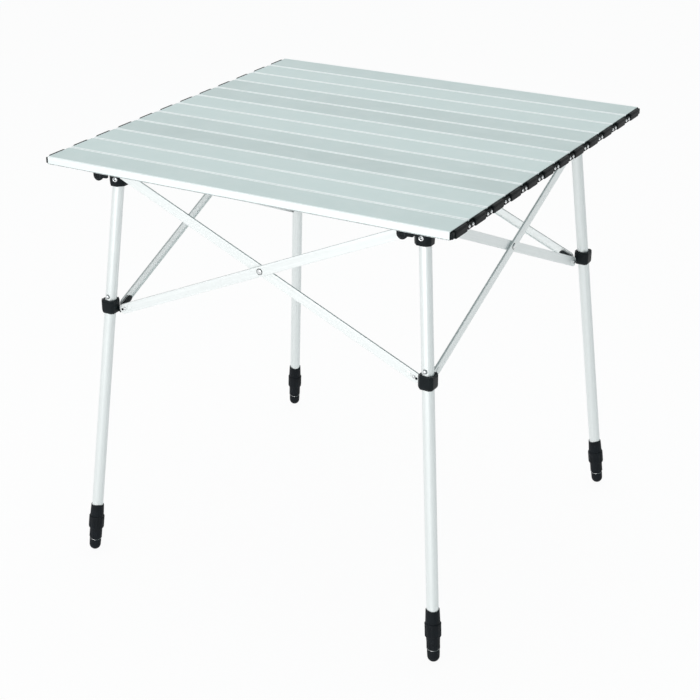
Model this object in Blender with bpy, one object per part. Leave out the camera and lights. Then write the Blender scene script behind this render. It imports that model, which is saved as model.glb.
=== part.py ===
"""Camping table: a roll-up slatted top on a scissor frame with four splayed legs.

Metres, +Z up, origin on the floor under the middle of the top. X runs along the slats.
"""

import math

import bmesh
import bpy
from mathutils import Matrix, Vector

# Overall size
TABLE_WIDTH = 0.690
TABLE_DEPTH = 0.690
TABLE_HEIGHT = 0.700

# Fits between pieces that move on each other
CLEARANCE = 0.0003
OVERLAP = 0.0006

# Slats
SLAT_COUNT = 12
SLAT_GAP = 0.0008
SLAT_THICKNESS = 0.012
SLAT_SHEET = 0.0012
SLAT_EDGE_RADIUS = 0.0018
SLAT_END = 0.010
SLAT_SEAT_HALF = 0.018

# Legs
LEG_SPLAY = 0.088
FOOT_INSET = 0.0198
TUBE_RADIUS = 0.00925
TUBE_WALL = 0.0012
EYE_RADIUS = 0.006
EYE_HALF = 0.004
HINGE_PIN_RADIUS = 0.002

# Hubs and the frame that joins them
HUB_DROP = 0.0215
HUB_HEIGHT = 0.0457
HUB_SIDE_WALL = 0.00415
HUB_PIVOT_PLAY = 0.001
COLLAR_DROP = 0.2195
FOLD_PLAY = 0.0016

# Braces
BRACE_WIDTH = 0.016
BRACE_DEPTH = 0.0035
BRACE_SHEET = 0.0012
BRACE_SPACE = 0.0004
PIVOT_RADIUS = 0.0025
PIVOT_HEAD_RADIUS = 0.0045
PIVOT_HEAD = 0.0013
LUG_DEPTH = 0.0038

# Collars and their snap buttons
COLLAR_SIDE_WALL = 0.00425
COLLAR_BELOW = 0.017
COLLAR_ABOVE = 0.005
COLLAR_PLAY = 0.00075
BUTTON_RADIUS = 0.003
BUTTON_RISE = 0.015
BUTTON_OUT = 0.0026
BUTTON_IN = 0.0045

# Catch levers
LEVER_REACH = 0.038
LEVER_PIVOT_REACH = 0.018
LEVER_HALF = 0.005
LEVER_DISC_RADIUS = 0.0095
LEVER_DISC_DROP = 0.006
LEVER_KNUCKLE_RADIUS = 0.0042
LEVER_PIN_RADIUS = 0.0015
LEVER_WALL = 0.0017

# Feet
SLEEVE_HEIGHT = 0.075
SLEEVE_RADIUS = 0.0113
SLEEVE_RING_RADIUS = 0.0138
SLEEVE_RING_LEVEL = 0.046
SLEEVE_FLOOR = 0.013
FOOT_HEIGHT = 0.020
FOOT_RADIUS = 0.0109
STUD_RADIUS = 0.0035
STUD_LENGTH = 0.025

# Levels and offsets that follow from the sizes above
SLAT_PITCH = TABLE_DEPTH / SLAT_COUNT
SLAT_BOTTOM = TABLE_HEIGHT - SLAT_THICKNESS
HUB_LEVEL = SLAT_BOTTOM - HUB_DROP
COLLAR_LEVEL = HUB_LEVEL - COLLAR_DROP
BUTTON_LEVEL = COLLAR_LEVEL + BUTTON_RISE
HUB_TOP = SLAT_BOTTOM - CLEARANCE
HUB_BOTTOM = HUB_TOP - HUB_HEIGHT
HUB_FACE = TUBE_RADIUS + HUB_SIDE_WALL
HUB_PIVOT_INSET = LEVER_HALF + CLEARANCE + LEVER_WALL + HUB_PIVOT_PLAY + BRACE_WIDTH / 2
COLLAR_HALF = TUBE_RADIUS + COLLAR_SIDE_WALL
LAYER_OUT = HUB_FACE + CLEARANCE
TILT = math.atan(LEG_SPLAY * math.sqrt(2.0))
LEG_LENGTH = HUB_LEVEL / math.cos(TILT)
ROUND = 28
FINE = 16
CORNERS = {"fl": (-1, -1), "fr": (1, -1), "br": (1, 1), "bl": (-1, 1)}
QUARTER_TURNS = {"fr": 0, "br": 1, "bl": 2, "fl": 3}


def clear_scene():
    """Remove the objects that the scene starts with."""
    for item in list(bpy.data.objects):
        bpy.data.objects.remove(item, do_unlink=True)


def material(name, color, metallic, roughness):
    """Return a new Principled material."""
    made = bpy.data.materials.new(name)
    made.use_nodes = True
    shader = made.node_tree.nodes["Principled BSDF"]
    shader.inputs["Base Color"].default_value = (*color, 1.0)
    shader.inputs["Metallic"].default_value = metallic
    shader.inputs["Roughness"].default_value = roughness
    return made


def half_x(level):
    """Return how far the leg axes stand from the middle along X at a level."""
    return TABLE_WIDTH / 2 - FOOT_INSET - LEG_SPLAY * level


def half_y(level):
    """Return how far the leg axes stand from the middle along Y at a level."""
    return TABLE_DEPTH / 2 - FOOT_INSET - LEG_SPLAY * level


def mesh_object(name, bm):
    """Turn a bmesh into an object in the scene, its faces pointing out."""
    bmesh.ops.recalc_face_normals(bm, faces=bm.faces)
    mesh = bpy.data.meshes.new(name)
    bm.to_mesh(mesh)
    bm.free()
    made = bpy.data.objects.new(name, mesh)
    bpy.context.scene.collection.objects.link(made)
    return made


def prism(outline, low, high, matrix=None):
    """Extrude a closed outline of (x, y) points between two levels."""
    bm = bmesh.new()
    face = bm.faces.new([bm.verts.new((x, y, low)) for x, y in outline])
    raised = bmesh.ops.extrude_face_region(bm, geom=[face])["geom"]
    moved = [item for item in raised if isinstance(item, bmesh.types.BMVert)]
    bmesh.ops.translate(bm, verts=moved, vec=(0.0, 0.0, high - low))
    if matrix is not None:
        bmesh.ops.transform(bm, matrix=matrix, verts=bm.verts)
    return mesh_object("prism", bm)


def box(low, high):
    """Return an axis-aligned box between two corners."""
    outline = [(low[0], low[1]), (high[0], low[1]), (high[0], high[1]), (low[0], high[1])]
    return prism(outline, low[2], high[2])


def ring_points(radius, count=ROUND, centre=(0.0, 0.0)):
    """Return the points of a circle, counter-clockwise."""
    turns = [2 * math.pi * k / count for k in range(count)]
    return [(centre[0] + radius * math.cos(t), centre[1] + radius * math.sin(t)) for t in turns]


def along(axis, centre):
    """Return the matrix that puts local Z along a named axis, through a centre."""
    turns = {
        "x": Matrix.Rotation(math.pi / 2, 4, "Y"),
        "y": Matrix.Rotation(-math.pi / 2, 4, "X"),
        "z": Matrix.Identity(4),
    }
    return Matrix.Translation(centre) @ turns[axis]


def rod(axis, centre, radius, low, high, count=ROUND):
    """Return a cylinder along an axis, from low to high measured from its centre."""
    return prism(ring_points(radius, count), low, high, along(axis, centre))


def tongue(axis, centre, length, turn, low, high):
    """Return a flat lug with a round end about a pivot, running a length in a local direction."""
    radius = BRACE_WIDTH / 2
    ahead = (math.cos(turn), math.sin(turn))
    outline = []
    for k in range(11):
        angle = turn + math.pi / 2 + math.pi * k / 10
        outline.append((radius * math.cos(angle), radius * math.sin(angle)))
    for side in (-radius, radius):
        outline.append((length * ahead[0] - side * ahead[1], length * ahead[1] + side * ahead[0]))
    return prism(outline, low, high, along(axis, centre))


def lathe(profile, matrix, count=ROUND):
    """Spin a closed profile of (radius, level) points about local Z."""
    bm = bmesh.new()
    rows = []
    for k in range(count):
        turn = 2 * math.pi * k / count
        row = [bm.verts.new((r * math.cos(turn), r * math.sin(turn), z)) for r, z in profile]
        rows.append(row)
    for k in range(count):
        here = rows[k]
        there = rows[(k + 1) % count]
        for i in range(len(profile)):
            j = (i + 1) % len(profile)
            if profile[i][0] > 0.0 or profile[j][0] > 0.0:
                bm.faces.new((here[i], there[i], there[j], here[j]))
    bmesh.ops.remove_doubles(bm, verts=bm.verts, dist=0.000001)
    bmesh.ops.transform(bm, matrix=matrix, verts=bm.verts)
    return mesh_object("lathe", bm)


def combine(target, other, operation):
    """Apply one exact Boolean to a solid and use up the other solid."""
    step = target.modifiers.new("step", "BOOLEAN")
    step.object = other
    step.operation = operation
    step.solver = "EXACT"
    graph = bpy.context.evaluated_depsgraph_get()
    result = bpy.data.meshes.new_from_object(target.evaluated_get(graph))
    target.modifiers.clear()
    target.data = result
    bpy.data.objects.remove(other, do_unlink=True)
    return target


def join(target, *others):
    """Fuse solids into the first."""
    for other in others:
        combine(target, other, "UNION")
    return target


def cut(target, *others):
    """Take solids away from the first."""
    for other in others:
        combine(target, other, "DIFFERENCE")
    return target


def bevel_edges(target, width, segments, chosen):
    """Round the edges of a solid that a test on their two ends picks."""
    bm = bmesh.new()
    bm.from_mesh(target.data)
    picked = [edge for edge in bm.edges if chosen(edge.verts[0].co, edge.verts[1].co)]
    bmesh.ops.bevel(
        bm, geom=picked, offset=width, segments=segments, profile=0.5, affect="EDGES"
    )
    bm.to_mesh(target.data)
    bm.free()
    return target


def finish(target, name, look, origin):
    """Name a solid, put its origin on a point and shade it."""
    target.data.transform(Matrix.Translation(-Vector(origin)))
    target.location = origin
    target.name = name
    target.data.name = name
    target.data.materials.clear()
    target.data.materials.append(look)
    target.data.shade_smooth()
    target.data.set_sharp_from_angle(angle=math.radians(35))
    return target


def quarter(target, turns):
    """Turn a solid about Z by quarter turns."""
    target.data.transform(Matrix.Rotation(turns * math.pi / 2, 4, "Z"))
    return target


def copy_of(target):
    """Return a second solid of the same shape."""
    made = bpy.data.objects.new("copy", target.data.copy())
    bpy.context.scene.collection.objects.link(made)
    return made


def hub_point(corner):
    """Return the point where a leg axis meets its hub's hinge pin."""
    side_x, side_y = CORNERS[corner]
    return Vector((side_x * half_x(HUB_LEVEL), side_y * half_y(HUB_LEVEL), HUB_LEVEL))


def leg_matrix(corner):
    """Return the leg's frame: local Z up its axis from the floor, local X along its hinge pin."""
    side_x, side_y = CORNERS[corner]
    foot = Vector((side_x * half_x(0.0), side_y * half_y(0.0), 0.0))
    up = (hub_point(corner) - foot).normalized()
    across = Vector((-side_y, side_x, 0.0)).normalized()
    ahead = up.cross(across)
    turn = Matrix((across, ahead, up)).transposed().to_4x4()
    return Matrix.Translation(foot) @ turn


def build_slat(index, look):
    """Make one slat: a channel open below, with solid end pieces and a seat above each hub."""
    front = -TABLE_DEPTH / 2 + index * SLAT_PITCH
    low = (-TABLE_WIDTH / 2, front + SLAT_GAP / 2, SLAT_BOTTOM)
    high = (TABLE_WIDTH / 2, front + SLAT_PITCH - SLAT_GAP / 2, TABLE_HEIGHT)
    slat = box(low, high)
    top = TABLE_HEIGHT - 1e-5
    bevel_edges(
        slat,
        SLAT_EDGE_RADIUS,
        3,
        lambda a, b: min(a.z, b.z) > top and abs(a.x - b.x) > SLAT_END,
    )
    seat = half_x(HUB_LEVEL)
    pockets = (
        (low[0] + SLAT_END, -seat - SLAT_SEAT_HALF),
        (-seat + SLAT_SEAT_HALF, seat - SLAT_SEAT_HALF),
        (seat + SLAT_SEAT_HALF, high[0] - SLAT_END),
    )
    for left, right in pockets:
        pocket = box(
            (left, low[1] + SLAT_SHEET, low[2] - SLAT_THICKNESS),
            (right, high[1] - SLAT_SHEET, high[2] - SLAT_SHEET),
        )
        cut(slat, pocket)
    middle = SLAT_COUNT // 2 - 1
    seam = front if index > middle else front + SLAT_PITCH
    if index == middle:
        seam = front + SLAT_PITCH / 2
    return finish(slat, f"slat_{index + 1:02d}", look, (0.0, seam, SLAT_BOTTOM))


def hub_base():
    """Make the front right hub about its hinge point, without its lever's fork."""
    high = HUB_TOP - HUB_LEVEL
    low = HUB_BOTTOM - HUB_LEVEL
    block = box((-HUB_FACE, -HUB_FACE, low), (HUB_FACE, HUB_FACE, high))
    bevel_edges(block, 0.003, 4, lambda a, b: abs(a.z - b.z) > HUB_HEIGHT / 2)
    at_outer = (-HUB_PIVOT_INSET, 0.0, 0.0)
    at_inner = (0.0, HUB_PIVOT_INSET, 0.0)
    inner_face = LAYER_OUT - BRACE_SPACE / 2 - BRACE_DEPTH - CLEARANCE
    outer_face = -HUB_FACE + 0.0002
    outer_lug = tongue("y", at_outer, HUB_PIVOT_INSET, 0.0, outer_face, outer_face + 0.0058)
    inner_lug = tongue("x", at_inner, HUB_PIVOT_INSET, -math.pi / 2, inner_face - LUG_DEPTH, inner_face)
    notch = box(
        (inner_face, HUB_PIVOT_INSET - BRACE_WIDTH / 2 - 2 * CLEARANCE, low - 0.01),
        (HUB_FACE + 0.01, HUB_FACE + 0.01, BRACE_WIDTH / 2 + 2 * CLEARANCE),
    )
    cut(block, notch)
    join(block, outer_lug, inner_lug)
    outer_tip = -LAYER_OUT - BRACE_SPACE / 2 - BRACE_DEPTH - CLEARANCE
    inner_tip = LAYER_OUT - BRACE_SPACE / 2 + CLEARANCE
    join(
        block,
        rod("y", at_outer, PIVOT_RADIUS, outer_tip - OVERLAP, outer_face + OVERLAP),
        rod("y", at_outer, PIVOT_HEAD_RADIUS, outer_tip - PIVOT_HEAD, outer_tip),
        rod("x", at_inner, PIVOT_RADIUS, inner_face - OVERLAP, inner_tip + OVERLAP),
        rod("x", at_inner, PIVOT_HEAD_RADIUS, inner_tip, inner_tip + PIVOT_HEAD),
    )
    return block


def socket(corner):
    """Return the space that a leg's head needs inside its hub, about the hinge point."""
    frame = leg_matrix(corner)
    frame.translation = (0.0, 0.0, 0.0)
    halfway = Matrix.Rotation(TILT * 0.3, 4, frame.col[0].xyz)
    bore = TUBE_RADIUS + FOLD_PLAY
    return prism(ring_points(bore), -HUB_HEIGHT, EYE_RADIUS + 0.001, halfway @ frame)


def hinge_pin(corner):
    """Return the pin across a hub's socket, about the hinge point."""
    frame = leg_matrix(corner)
    frame.translation = (0.0, 0.0, 0.0)
    reach = HUB_FACE - 0.0016
    turn = Matrix.Rotation(math.pi / 2, 4, "Y")
    return prism(ring_points(HINGE_PIN_RADIUS, FINE), -reach, reach, frame @ turn)


def build_hub(corner, base, look, origin):
    """Make one hub: block, socket with its pin, two brace pivots and the lever's fork."""
    hub = quarter(copy_of(base), QUARTER_TURNS[corner])
    cut(hub, socket(corner))
    join(hub, hinge_pin(corner))
    wall = LEVER_HALF + CLEARANCE
    side = HUB_FACE - OVERLAP
    fork = box(
        (-LEVER_PIVOT_REACH - 0.0035, -wall - LEVER_WALL, -0.0055),
        (-side, wall + LEVER_WALL, 0.0055),
    )
    slot = box(
        (-LEVER_PIVOT_REACH - 0.02, -wall, -0.012),
        (-LEVER_PIVOT_REACH + LEVER_KNUCKLE_RADIUS + 2 * CLEARANCE, wall, 0.012),
    )
    cut(fork, copy_of(slot))
    cut(hub, slot)
    pin = rod("y", (-LEVER_PIVOT_REACH, 0.0, 0.0), LEVER_PIN_RADIUS, -wall - OVERLAP, wall + OVERLAP, FINE)
    join(hub, fork, pin)
    hub.data.transform(Matrix.Translation(hub_point(corner)))
    return finish(hub, f"hub_{corner}", look, origin)


def build_lever(corner, look):
    """Make one catch lever: a knuckle, a neck and a round end that hangs to the left."""
    knuckle = (-LEVER_PIVOT_REACH, 0.0, 0.0)
    round_end = (-LEVER_REACH, 0.0, -LEVER_DISC_DROP)
    lever = rod("y", round_end, LEVER_DISC_RADIUS, -LEVER_HALF, LEVER_HALF)
    neck = [
        (-LEVER_PIVOT_REACH, 0.0030),
        (-LEVER_PIVOT_REACH, -0.0032),
        (-LEVER_REACH + 0.004, -LEVER_DISC_DROP - 0.003),
        (-LEVER_REACH + 0.004, -LEVER_DISC_DROP + 0.005),
    ]
    upright = Matrix.Rotation(math.pi / 2, 4, "X")
    neck_solid = prism(neck, -LEVER_HALF + 0.0004, LEVER_HALF - 0.0004, upright)
    join(lever, neck_solid, rod("y", knuckle, LEVER_KNUCKLE_RADIUS, -LEVER_HALF, LEVER_HALF))
    cut(lever, rod("y", knuckle, LEVER_PIN_RADIUS + CLEARANCE, -0.01, 0.01, FINE))
    place = hub_point(corner)
    lever.data.transform(Matrix.Translation(place))
    return finish(lever, f"lever_{corner}", look, place + Vector(knuckle))


def build_leg(corner, look):
    """Make one leg: a tube with the eye of its hinge on top and the hole for its button."""
    frame = leg_matrix(corner)
    low = FOOT_HEIGHT + SLEEVE_FLOOR + CLEARANCE
    high = LEG_LENGTH - EYE_RADIUS - 0.0055
    inner = TUBE_RADIUS - TUBE_WALL
    leg = lathe([(inner, low), (TUBE_RADIUS, low), (TUBE_RADIUS, high), (inner, high)], frame)
    plug = prism(ring_points(inner + OVERLAP), high - 0.012, high - 0.0004, frame)
    turn = Matrix.Translation((0.0, 0.0, LEG_LENGTH)) @ Matrix.Rotation(math.pi / 2, 4, "Y")
    root = LEG_LENGTH - high + 0.004
    crown = ring_points(EYE_RADIUS)[ROUND // 4 : 3 * ROUND // 4 + 1]
    eye = prism([(root, -EYE_RADIUS), (root, EYE_RADIUS)] + crown, -EYE_HALF, EYE_HALF, frame @ turn)
    bore = prism(ring_points(HINGE_PIN_RADIUS + CLEARANCE, FINE), -0.02, 0.02, frame @ turn)
    join(leg, plug, eye)
    cut(leg, bore)
    side_x, side_y = CORNERS[corner]
    middle = Vector((side_x * half_x(BUTTON_LEVEL), side_y * half_y(BUTTON_LEVEL), BUTTON_LEVEL))
    reach = side_y * 0.02
    hole = rod("y", middle, BUTTON_RADIUS + CLEARANCE, min(0.0, reach), max(0.0, reach), FINE)
    cut(leg, hole)
    return finish(leg, f"leg_{corner}", look, hub_point(corner))


def build_button(corner, look):
    """Make one snap button: a short round pin with a domed end through the leg's wall."""
    side_x, side_y = CORNERS[corner]
    middle = Vector((side_x * half_x(BUTTON_LEVEL), side_y * half_y(BUTTON_LEVEL), BUTTON_LEVEL))
    tip = TUBE_RADIUS + BUTTON_OUT
    back = TUBE_RADIUS - BUTTON_IN
    profile = [
        (0.0, back),
        (BUTTON_RADIUS, back),
        (BUTTON_RADIUS, tip - 0.0010),
        (BUTTON_RADIUS * 0.88, tip - 0.0004),
        (BUTTON_RADIUS * 0.6, tip - 0.0001),
        (0.0, tip),
    ]
    turn = Matrix.Rotation(-side_y * math.pi / 2, 4, "X")
    button = lathe(profile, Matrix.Translation(middle) @ turn, FINE)
    return finish(button, f"button_{corner}", look, middle + Vector((0.0, side_y * tip, 0.0)))


def build_sleeve(corner, look):
    """Make one foot sleeve: a cup over the leg's end with a ring round it and a hole below."""
    bore = TUBE_RADIUS + CLEARANCE
    shelf = FOOT_HEIGHT + SLEEVE_FLOOR
    ring = SLEEVE_RING_LEVEL
    profile = [
        (STUD_RADIUS + CLEARANCE, FOOT_HEIGHT),
        (SLEEVE_RADIUS - 0.0006, FOOT_HEIGHT),
        (SLEEVE_RADIUS + 0.0006, FOOT_HEIGHT + 0.0015),
        (SLEEVE_RADIUS + 0.0006, FOOT_HEIGHT + 0.0050),
        (SLEEVE_RADIUS - 0.0004, FOOT_HEIGHT + 0.0060),
        (SLEEVE_RADIUS + 0.0006, ring - 0.0035),
        (SLEEVE_RING_RADIUS, ring - 0.0020),
        (SLEEVE_RING_RADIUS, ring + 0.0020),
        (SLEEVE_RADIUS + 0.0004, ring + 0.0032),
        (SLEEVE_RADIUS, SLEEVE_HEIGHT - 0.0008),
        (SLEEVE_RADIUS - 0.0006, SLEEVE_HEIGHT),
        (bore, SLEEVE_HEIGHT),
        (bore, shelf),
        (STUD_RADIUS + CLEARANCE, shelf),
    ]
    sleeve = lathe(profile, leg_matrix(corner))
    return finish(sleeve, f"foot_sleeve_{corner}", look, leg_matrix(corner).translation)


def build_foot(corner, look):
    """Make one screw foot: a pad that stands flat on the floor and a stud up into the sleeve."""
    face = FOOT_HEIGHT - CLEARANCE
    profile = [
        (0.0, -0.004),
        (FOOT_RADIUS - 0.0006, -0.004),
        (FOOT_RADIUS, 0.010),
        (FOOT_RADIUS, face - 0.0012),
        (FOOT_RADIUS - 0.0010, face),
        (STUD_RADIUS, face),
        (STUD_RADIUS, face + STUD_LENGTH),
        (0.0, face + STUD_LENGTH),
    ]
    foot = lathe(profile, leg_matrix(corner))
    place = leg_matrix(corner).translation
    cut(foot, box((place.x - 0.05, place.y - 0.05, -0.05), (place.x + 0.05, place.y + 0.05, 0.0)))
    return finish(foot, f"screw_foot_{corner}", look, place)


def collar_base():
    """Make the front right collar about the leg axis at its pivots' level, without its bore."""
    inset = half_x(COLLAR_LEVEL) - half_x(HUB_LEVEL) + HUB_PIVOT_INSET
    layer = LAYER_OUT - (half_x(COLLAR_LEVEL) - half_x(HUB_LEVEL))
    block = box((-COLLAR_HALF, -COLLAR_HALF, -COLLAR_BELOW), (COLLAR_HALF, COLLAR_HALF, COLLAR_ABOVE))
    bevel_edges(block, 0.0035, 4, lambda a, b: abs(a.z - b.z) > COLLAR_ABOVE)
    inner_face = layer - BRACE_SPACE / 2 - BRACE_DEPTH - CLEARANCE
    outer_face = layer + BRACE_SPACE / 2 - CLEARANCE
    at_front = (-inset, 0.0, 0.0)
    at_side = (0.0, inset, 0.0)
    reach = inset - COLLAR_HALF + 0.003
    front_lug = tongue("y", at_front, reach, 0.0, -inner_face, -inner_face + LUG_DEPTH)
    side_lug = tongue("x", at_side, reach, -math.pi / 2, outer_face - LUG_DEPTH, outer_face)
    join(block, front_lug, side_lug)
    front_tip = -(layer - BRACE_SPACE / 2 + CLEARANCE)
    side_tip = layer + BRACE_SPACE / 2 + BRACE_DEPTH + CLEARANCE
    join(
        block,
        rod("y", at_front, PIVOT_RADIUS, front_tip - OVERLAP, -inner_face + OVERLAP),
        rod("y", at_front, PIVOT_HEAD_RADIUS, front_tip - PIVOT_HEAD, front_tip),
        rod("x", at_side, PIVOT_RADIUS, outer_face - OVERLAP, side_tip + OVERLAP),
        rod("x", at_side, PIVOT_HEAD_RADIUS, side_tip, side_tip + PIVOT_HEAD),
    )
    return block


def build_collar(corner, base, look, origin):
    """Make one collar: two brace pivots on a block that hugs the leg and is open outwards."""
    collar = quarter(copy_of(base), QUARTER_TURNS[corner])
    side_x, side_y = CORNERS[corner]
    frame = leg_matrix(corner)
    frame.translation = (0.0, 0.0, 0.0)
    halfway = Matrix.Rotation(TILT * 0.3, 4, frame.col[0].xyz)
    bore = TUBE_RADIUS + COLLAR_PLAY
    outward = (frame.to_3x3().transposed() @ Vector((side_x, side_y, 0.0))).y
    reach = math.copysign(0.05, outward)
    outline = [(-bore, 0.0), (bore, 0.0), (bore, reach), (-bore, reach)]
    cut(
        collar,
        prism(ring_points(bore), -0.03, 0.02, halfway @ frame),
        prism(outline, -0.03, 0.02, halfway @ frame),
    )
    place = Vector((side_x * half_x(COLLAR_LEVEL), side_y * half_y(COLLAR_LEVEL), COLLAR_LEVEL))
    collar.data.transform(Matrix.Translation(place))
    return finish(collar, f"collar_{corner}", look, origin)


def brace_mesh(start, end, outer):
    """Make one brace along local X in its layer, hollowed from the inside, and return its turn."""
    run = Vector(end) - Vector(start)
    length = run.length
    radius = BRACE_WIDTH / 2
    outline = []
    for k in range(11):
        turn = math.pi / 2 + math.pi * k / 10
        outline.append((radius * math.cos(turn), radius * math.sin(turn)))
    for k in range(11):
        turn = -math.pi / 2 + math.pi * k / 10
        outline.append((length + radius * math.cos(turn), radius * math.sin(turn)))
    low = BRACE_SPACE / 2 if outer else -BRACE_SPACE / 2 - BRACE_DEPTH
    high = low + BRACE_DEPTH
    brace = prism(outline, low, high)
    half = radius - BRACE_SHEET
    for side in (0, 1):
        near = radius + 0.004 if side == 0 else length / 2 + radius
        far = length / 2 - radius if side == 0 else length - radius - 0.004
        cut(brace, box((near, -half, low - 0.01), (far, half, high - BRACE_SHEET)))
    hole = PIVOT_RADIUS + CLEARANCE
    for spot in (0.0, length / 2, length):
        cut(brace, rod("z", (spot, 0.0, 0.0), hole, -0.02, 0.02, FINE))
    return brace, math.atan2(run.y, run.x)


def build_brace(name, face, start, end, outer, look, origin):
    """Place one brace on a face of the frame; its ends are given as (across, level)."""
    brace, turn = brace_mesh(start, end, outer)
    spin = Matrix.Translation((start[0], start[1], 0.0)) @ Matrix.Rotation(turn, 4, "Z")
    brace.data.transform(face @ spin)
    return finish(brace, name, look, origin)


def face_matrix(name):
    """Return a face's frame: local X across it, local Y up, local Z out of it at its layers."""
    reach_x = half_x(HUB_LEVEL) + LAYER_OUT
    reach_y = half_y(HUB_LEVEL) + LAYER_OUT
    turns = {"front": 0, "right": 1, "back": 2, "left": 3}
    reach = reach_y if name in ("front", "back") else reach_x
    upright = Matrix.Translation((0.0, -reach, 0.0)) @ Matrix.Rotation(math.pi / 2, 4, "X")
    return Matrix.Rotation(turns[name] * math.pi / 2, 4, "Z") @ upright


def build_rivet(name, face, look):
    """Make the rivet at a crossing: a shank through both braces with a head on each side."""
    level = (HUB_LEVEL + COLLAR_LEVEL) / 2
    reach = BRACE_SPACE / 2 + BRACE_DEPTH + CLEARANCE
    profile = [
        (0.0, -reach - PIVOT_HEAD),
        (PIVOT_HEAD_RADIUS * 0.7, -reach - PIVOT_HEAD),
        (PIVOT_HEAD_RADIUS, -reach - PIVOT_HEAD * 0.4),
        (PIVOT_HEAD_RADIUS, -reach),
        (PIVOT_RADIUS, -reach),
        (PIVOT_RADIUS, reach),
        (PIVOT_HEAD_RADIUS, reach),
        (PIVOT_HEAD_RADIUS, reach + PIVOT_HEAD * 0.4),
        (PIVOT_HEAD_RADIUS * 0.7, reach + PIVOT_HEAD),
        (0.0, reach + PIVOT_HEAD),
    ]
    matrix = face @ Matrix.Translation((0.0, level, 0.0))
    rivet = lathe(profile, matrix, FINE)
    return finish(rivet, name, look, matrix.translation)


def face_point(face, across, level):
    """Return the world point on a face's layer plane."""
    return face @ Vector((across, level, 0.0))


def build_frame(looks):
    """Make the four crossed brace pairs, their rivets, the hubs and the collars."""
    spread = {
        "front": half_x(HUB_LEVEL) - HUB_PIVOT_INSET,
        "back": half_x(HUB_LEVEL) - HUB_PIVOT_INSET,
        "right": half_y(HUB_LEVEL) - HUB_PIVOT_INSET,
        "left": half_y(HUB_LEVEL) - HUB_PIVOT_INSET,
    }
    middle = (HUB_LEVEL + COLLAR_LEVEL) / 2
    rising_is_a = {"front": True, "right": False, "back": False, "left": True}
    for name, across in spread.items():
        face = face_matrix(name)
        ends = {
            "rising": ((across, HUB_LEVEL), (-across, COLLAR_LEVEL)),
            "falling": ((-across, HUB_LEVEL), (across, COLLAR_LEVEL)),
        }
        first = "rising" if rising_is_a[name] else "falling"
        second = "falling" if first == "rising" else "rising"
        start, end = ends[first]
        origin = face_point(face, *start)
        build_brace(f"brace_{name}_a", face, start, end, first == "rising", looks["brace"], origin)
        start, end = ends[second]
        origin = face_point(face, 0.0, middle)
        build_brace(f"brace_{name}_b", face, start, end, second == "rising", looks["brace"], origin)
        build_rivet(f"rivet_{name}", face, looks["rivet"])
    front = face_matrix("front")
    right = face_matrix("right")
    left = face_matrix("left")
    in_x = spread["front"]
    in_y = spread["right"]
    hub_origins = {
        "fr": hub_point("fr"),
        "fl": face_point(front, -in_x, HUB_LEVEL),
        "br": face_point(right, in_y, HUB_LEVEL),
        "bl": face_point(left, -in_y, HUB_LEVEL),
    }
    collar_origins = {
        "fr": face_point(front, in_x, COLLAR_LEVEL),
        "fl": face_point(front, -in_x, COLLAR_LEVEL),
        "br": face_point(right, in_y, COLLAR_LEVEL),
        "bl": face_point(left, -in_y, COLLAR_LEVEL),
    }
    hub = hub_base()
    collar = collar_base()
    for corner in CORNERS:
        build_hub(corner, hub, looks["plastic"], hub_origins[corner])
        build_collar(corner, collar, looks["plastic"], collar_origins[corner])
    bpy.data.objects.remove(hub, do_unlink=True)
    bpy.data.objects.remove(collar, do_unlink=True)


def main():
    clear_scene()
    looks = {
        "slat": material("slat_aluminium", (0.55, 0.62, 0.61), 0.9, 0.42),
        "tube": material("tube_aluminium", (0.74, 0.75, 0.76), 1.0, 0.3),
        "brace": material("brace_aluminium", (0.70, 0.71, 0.72), 1.0, 0.34),
        "plastic": material("black_plastic", (0.02, 0.02, 0.022), 0.0, 0.5),
        "foot": material("foot_rubber", (0.025, 0.025, 0.027), 0.0, 0.65),
        "rivet": material("rivet_steel", (0.66, 0.67, 0.69), 1.0, 0.25),
    }
    for index in range(SLAT_COUNT):
        build_slat(index, looks["slat"])
    build_frame(looks)
    for corner in CORNERS:
        build_lever(corner, looks["plastic"])
        build_leg(corner, looks["tube"])
        build_button(corner, looks["rivet"])
        build_sleeve(corner, looks["foot"])
        build_foot(corner, looks["foot"])


main()
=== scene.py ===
"""Camping table, dressed: roll-up slatted top, folding braced frame, splayed legs and screw feet.

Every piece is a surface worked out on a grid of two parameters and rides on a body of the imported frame.
"""

import logging
import math
from collections.abc import Sequence
from dataclasses import dataclass
from enum import Enum

import bmesh
import bpy
import numpy as np
import numpy.typing as npt
from mathutils import Matrix, Vector


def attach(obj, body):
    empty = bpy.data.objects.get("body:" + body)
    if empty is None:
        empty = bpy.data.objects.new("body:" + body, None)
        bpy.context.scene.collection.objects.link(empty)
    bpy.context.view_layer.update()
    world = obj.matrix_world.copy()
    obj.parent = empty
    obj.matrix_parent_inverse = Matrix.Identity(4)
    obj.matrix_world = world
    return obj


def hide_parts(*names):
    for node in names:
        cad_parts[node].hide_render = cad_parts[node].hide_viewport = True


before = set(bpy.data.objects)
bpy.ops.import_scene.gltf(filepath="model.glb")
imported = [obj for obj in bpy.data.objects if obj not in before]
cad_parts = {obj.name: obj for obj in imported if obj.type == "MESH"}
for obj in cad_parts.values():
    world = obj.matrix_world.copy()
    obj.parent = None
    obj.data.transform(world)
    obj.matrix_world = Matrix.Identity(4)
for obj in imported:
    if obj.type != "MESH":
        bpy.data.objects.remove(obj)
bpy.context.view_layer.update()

Array = npt.NDArray[np.float64]
Node = bpy.types.Node
Socket = bpy.types.NodeSocket
Tree = bpy.types.NodeTree
Colour = tuple[float, float, float]
LOG = logging.getLogger("camping_table")
logging.basicConfig(level=logging.INFO, format="%(name)s: %(message)s")

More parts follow.
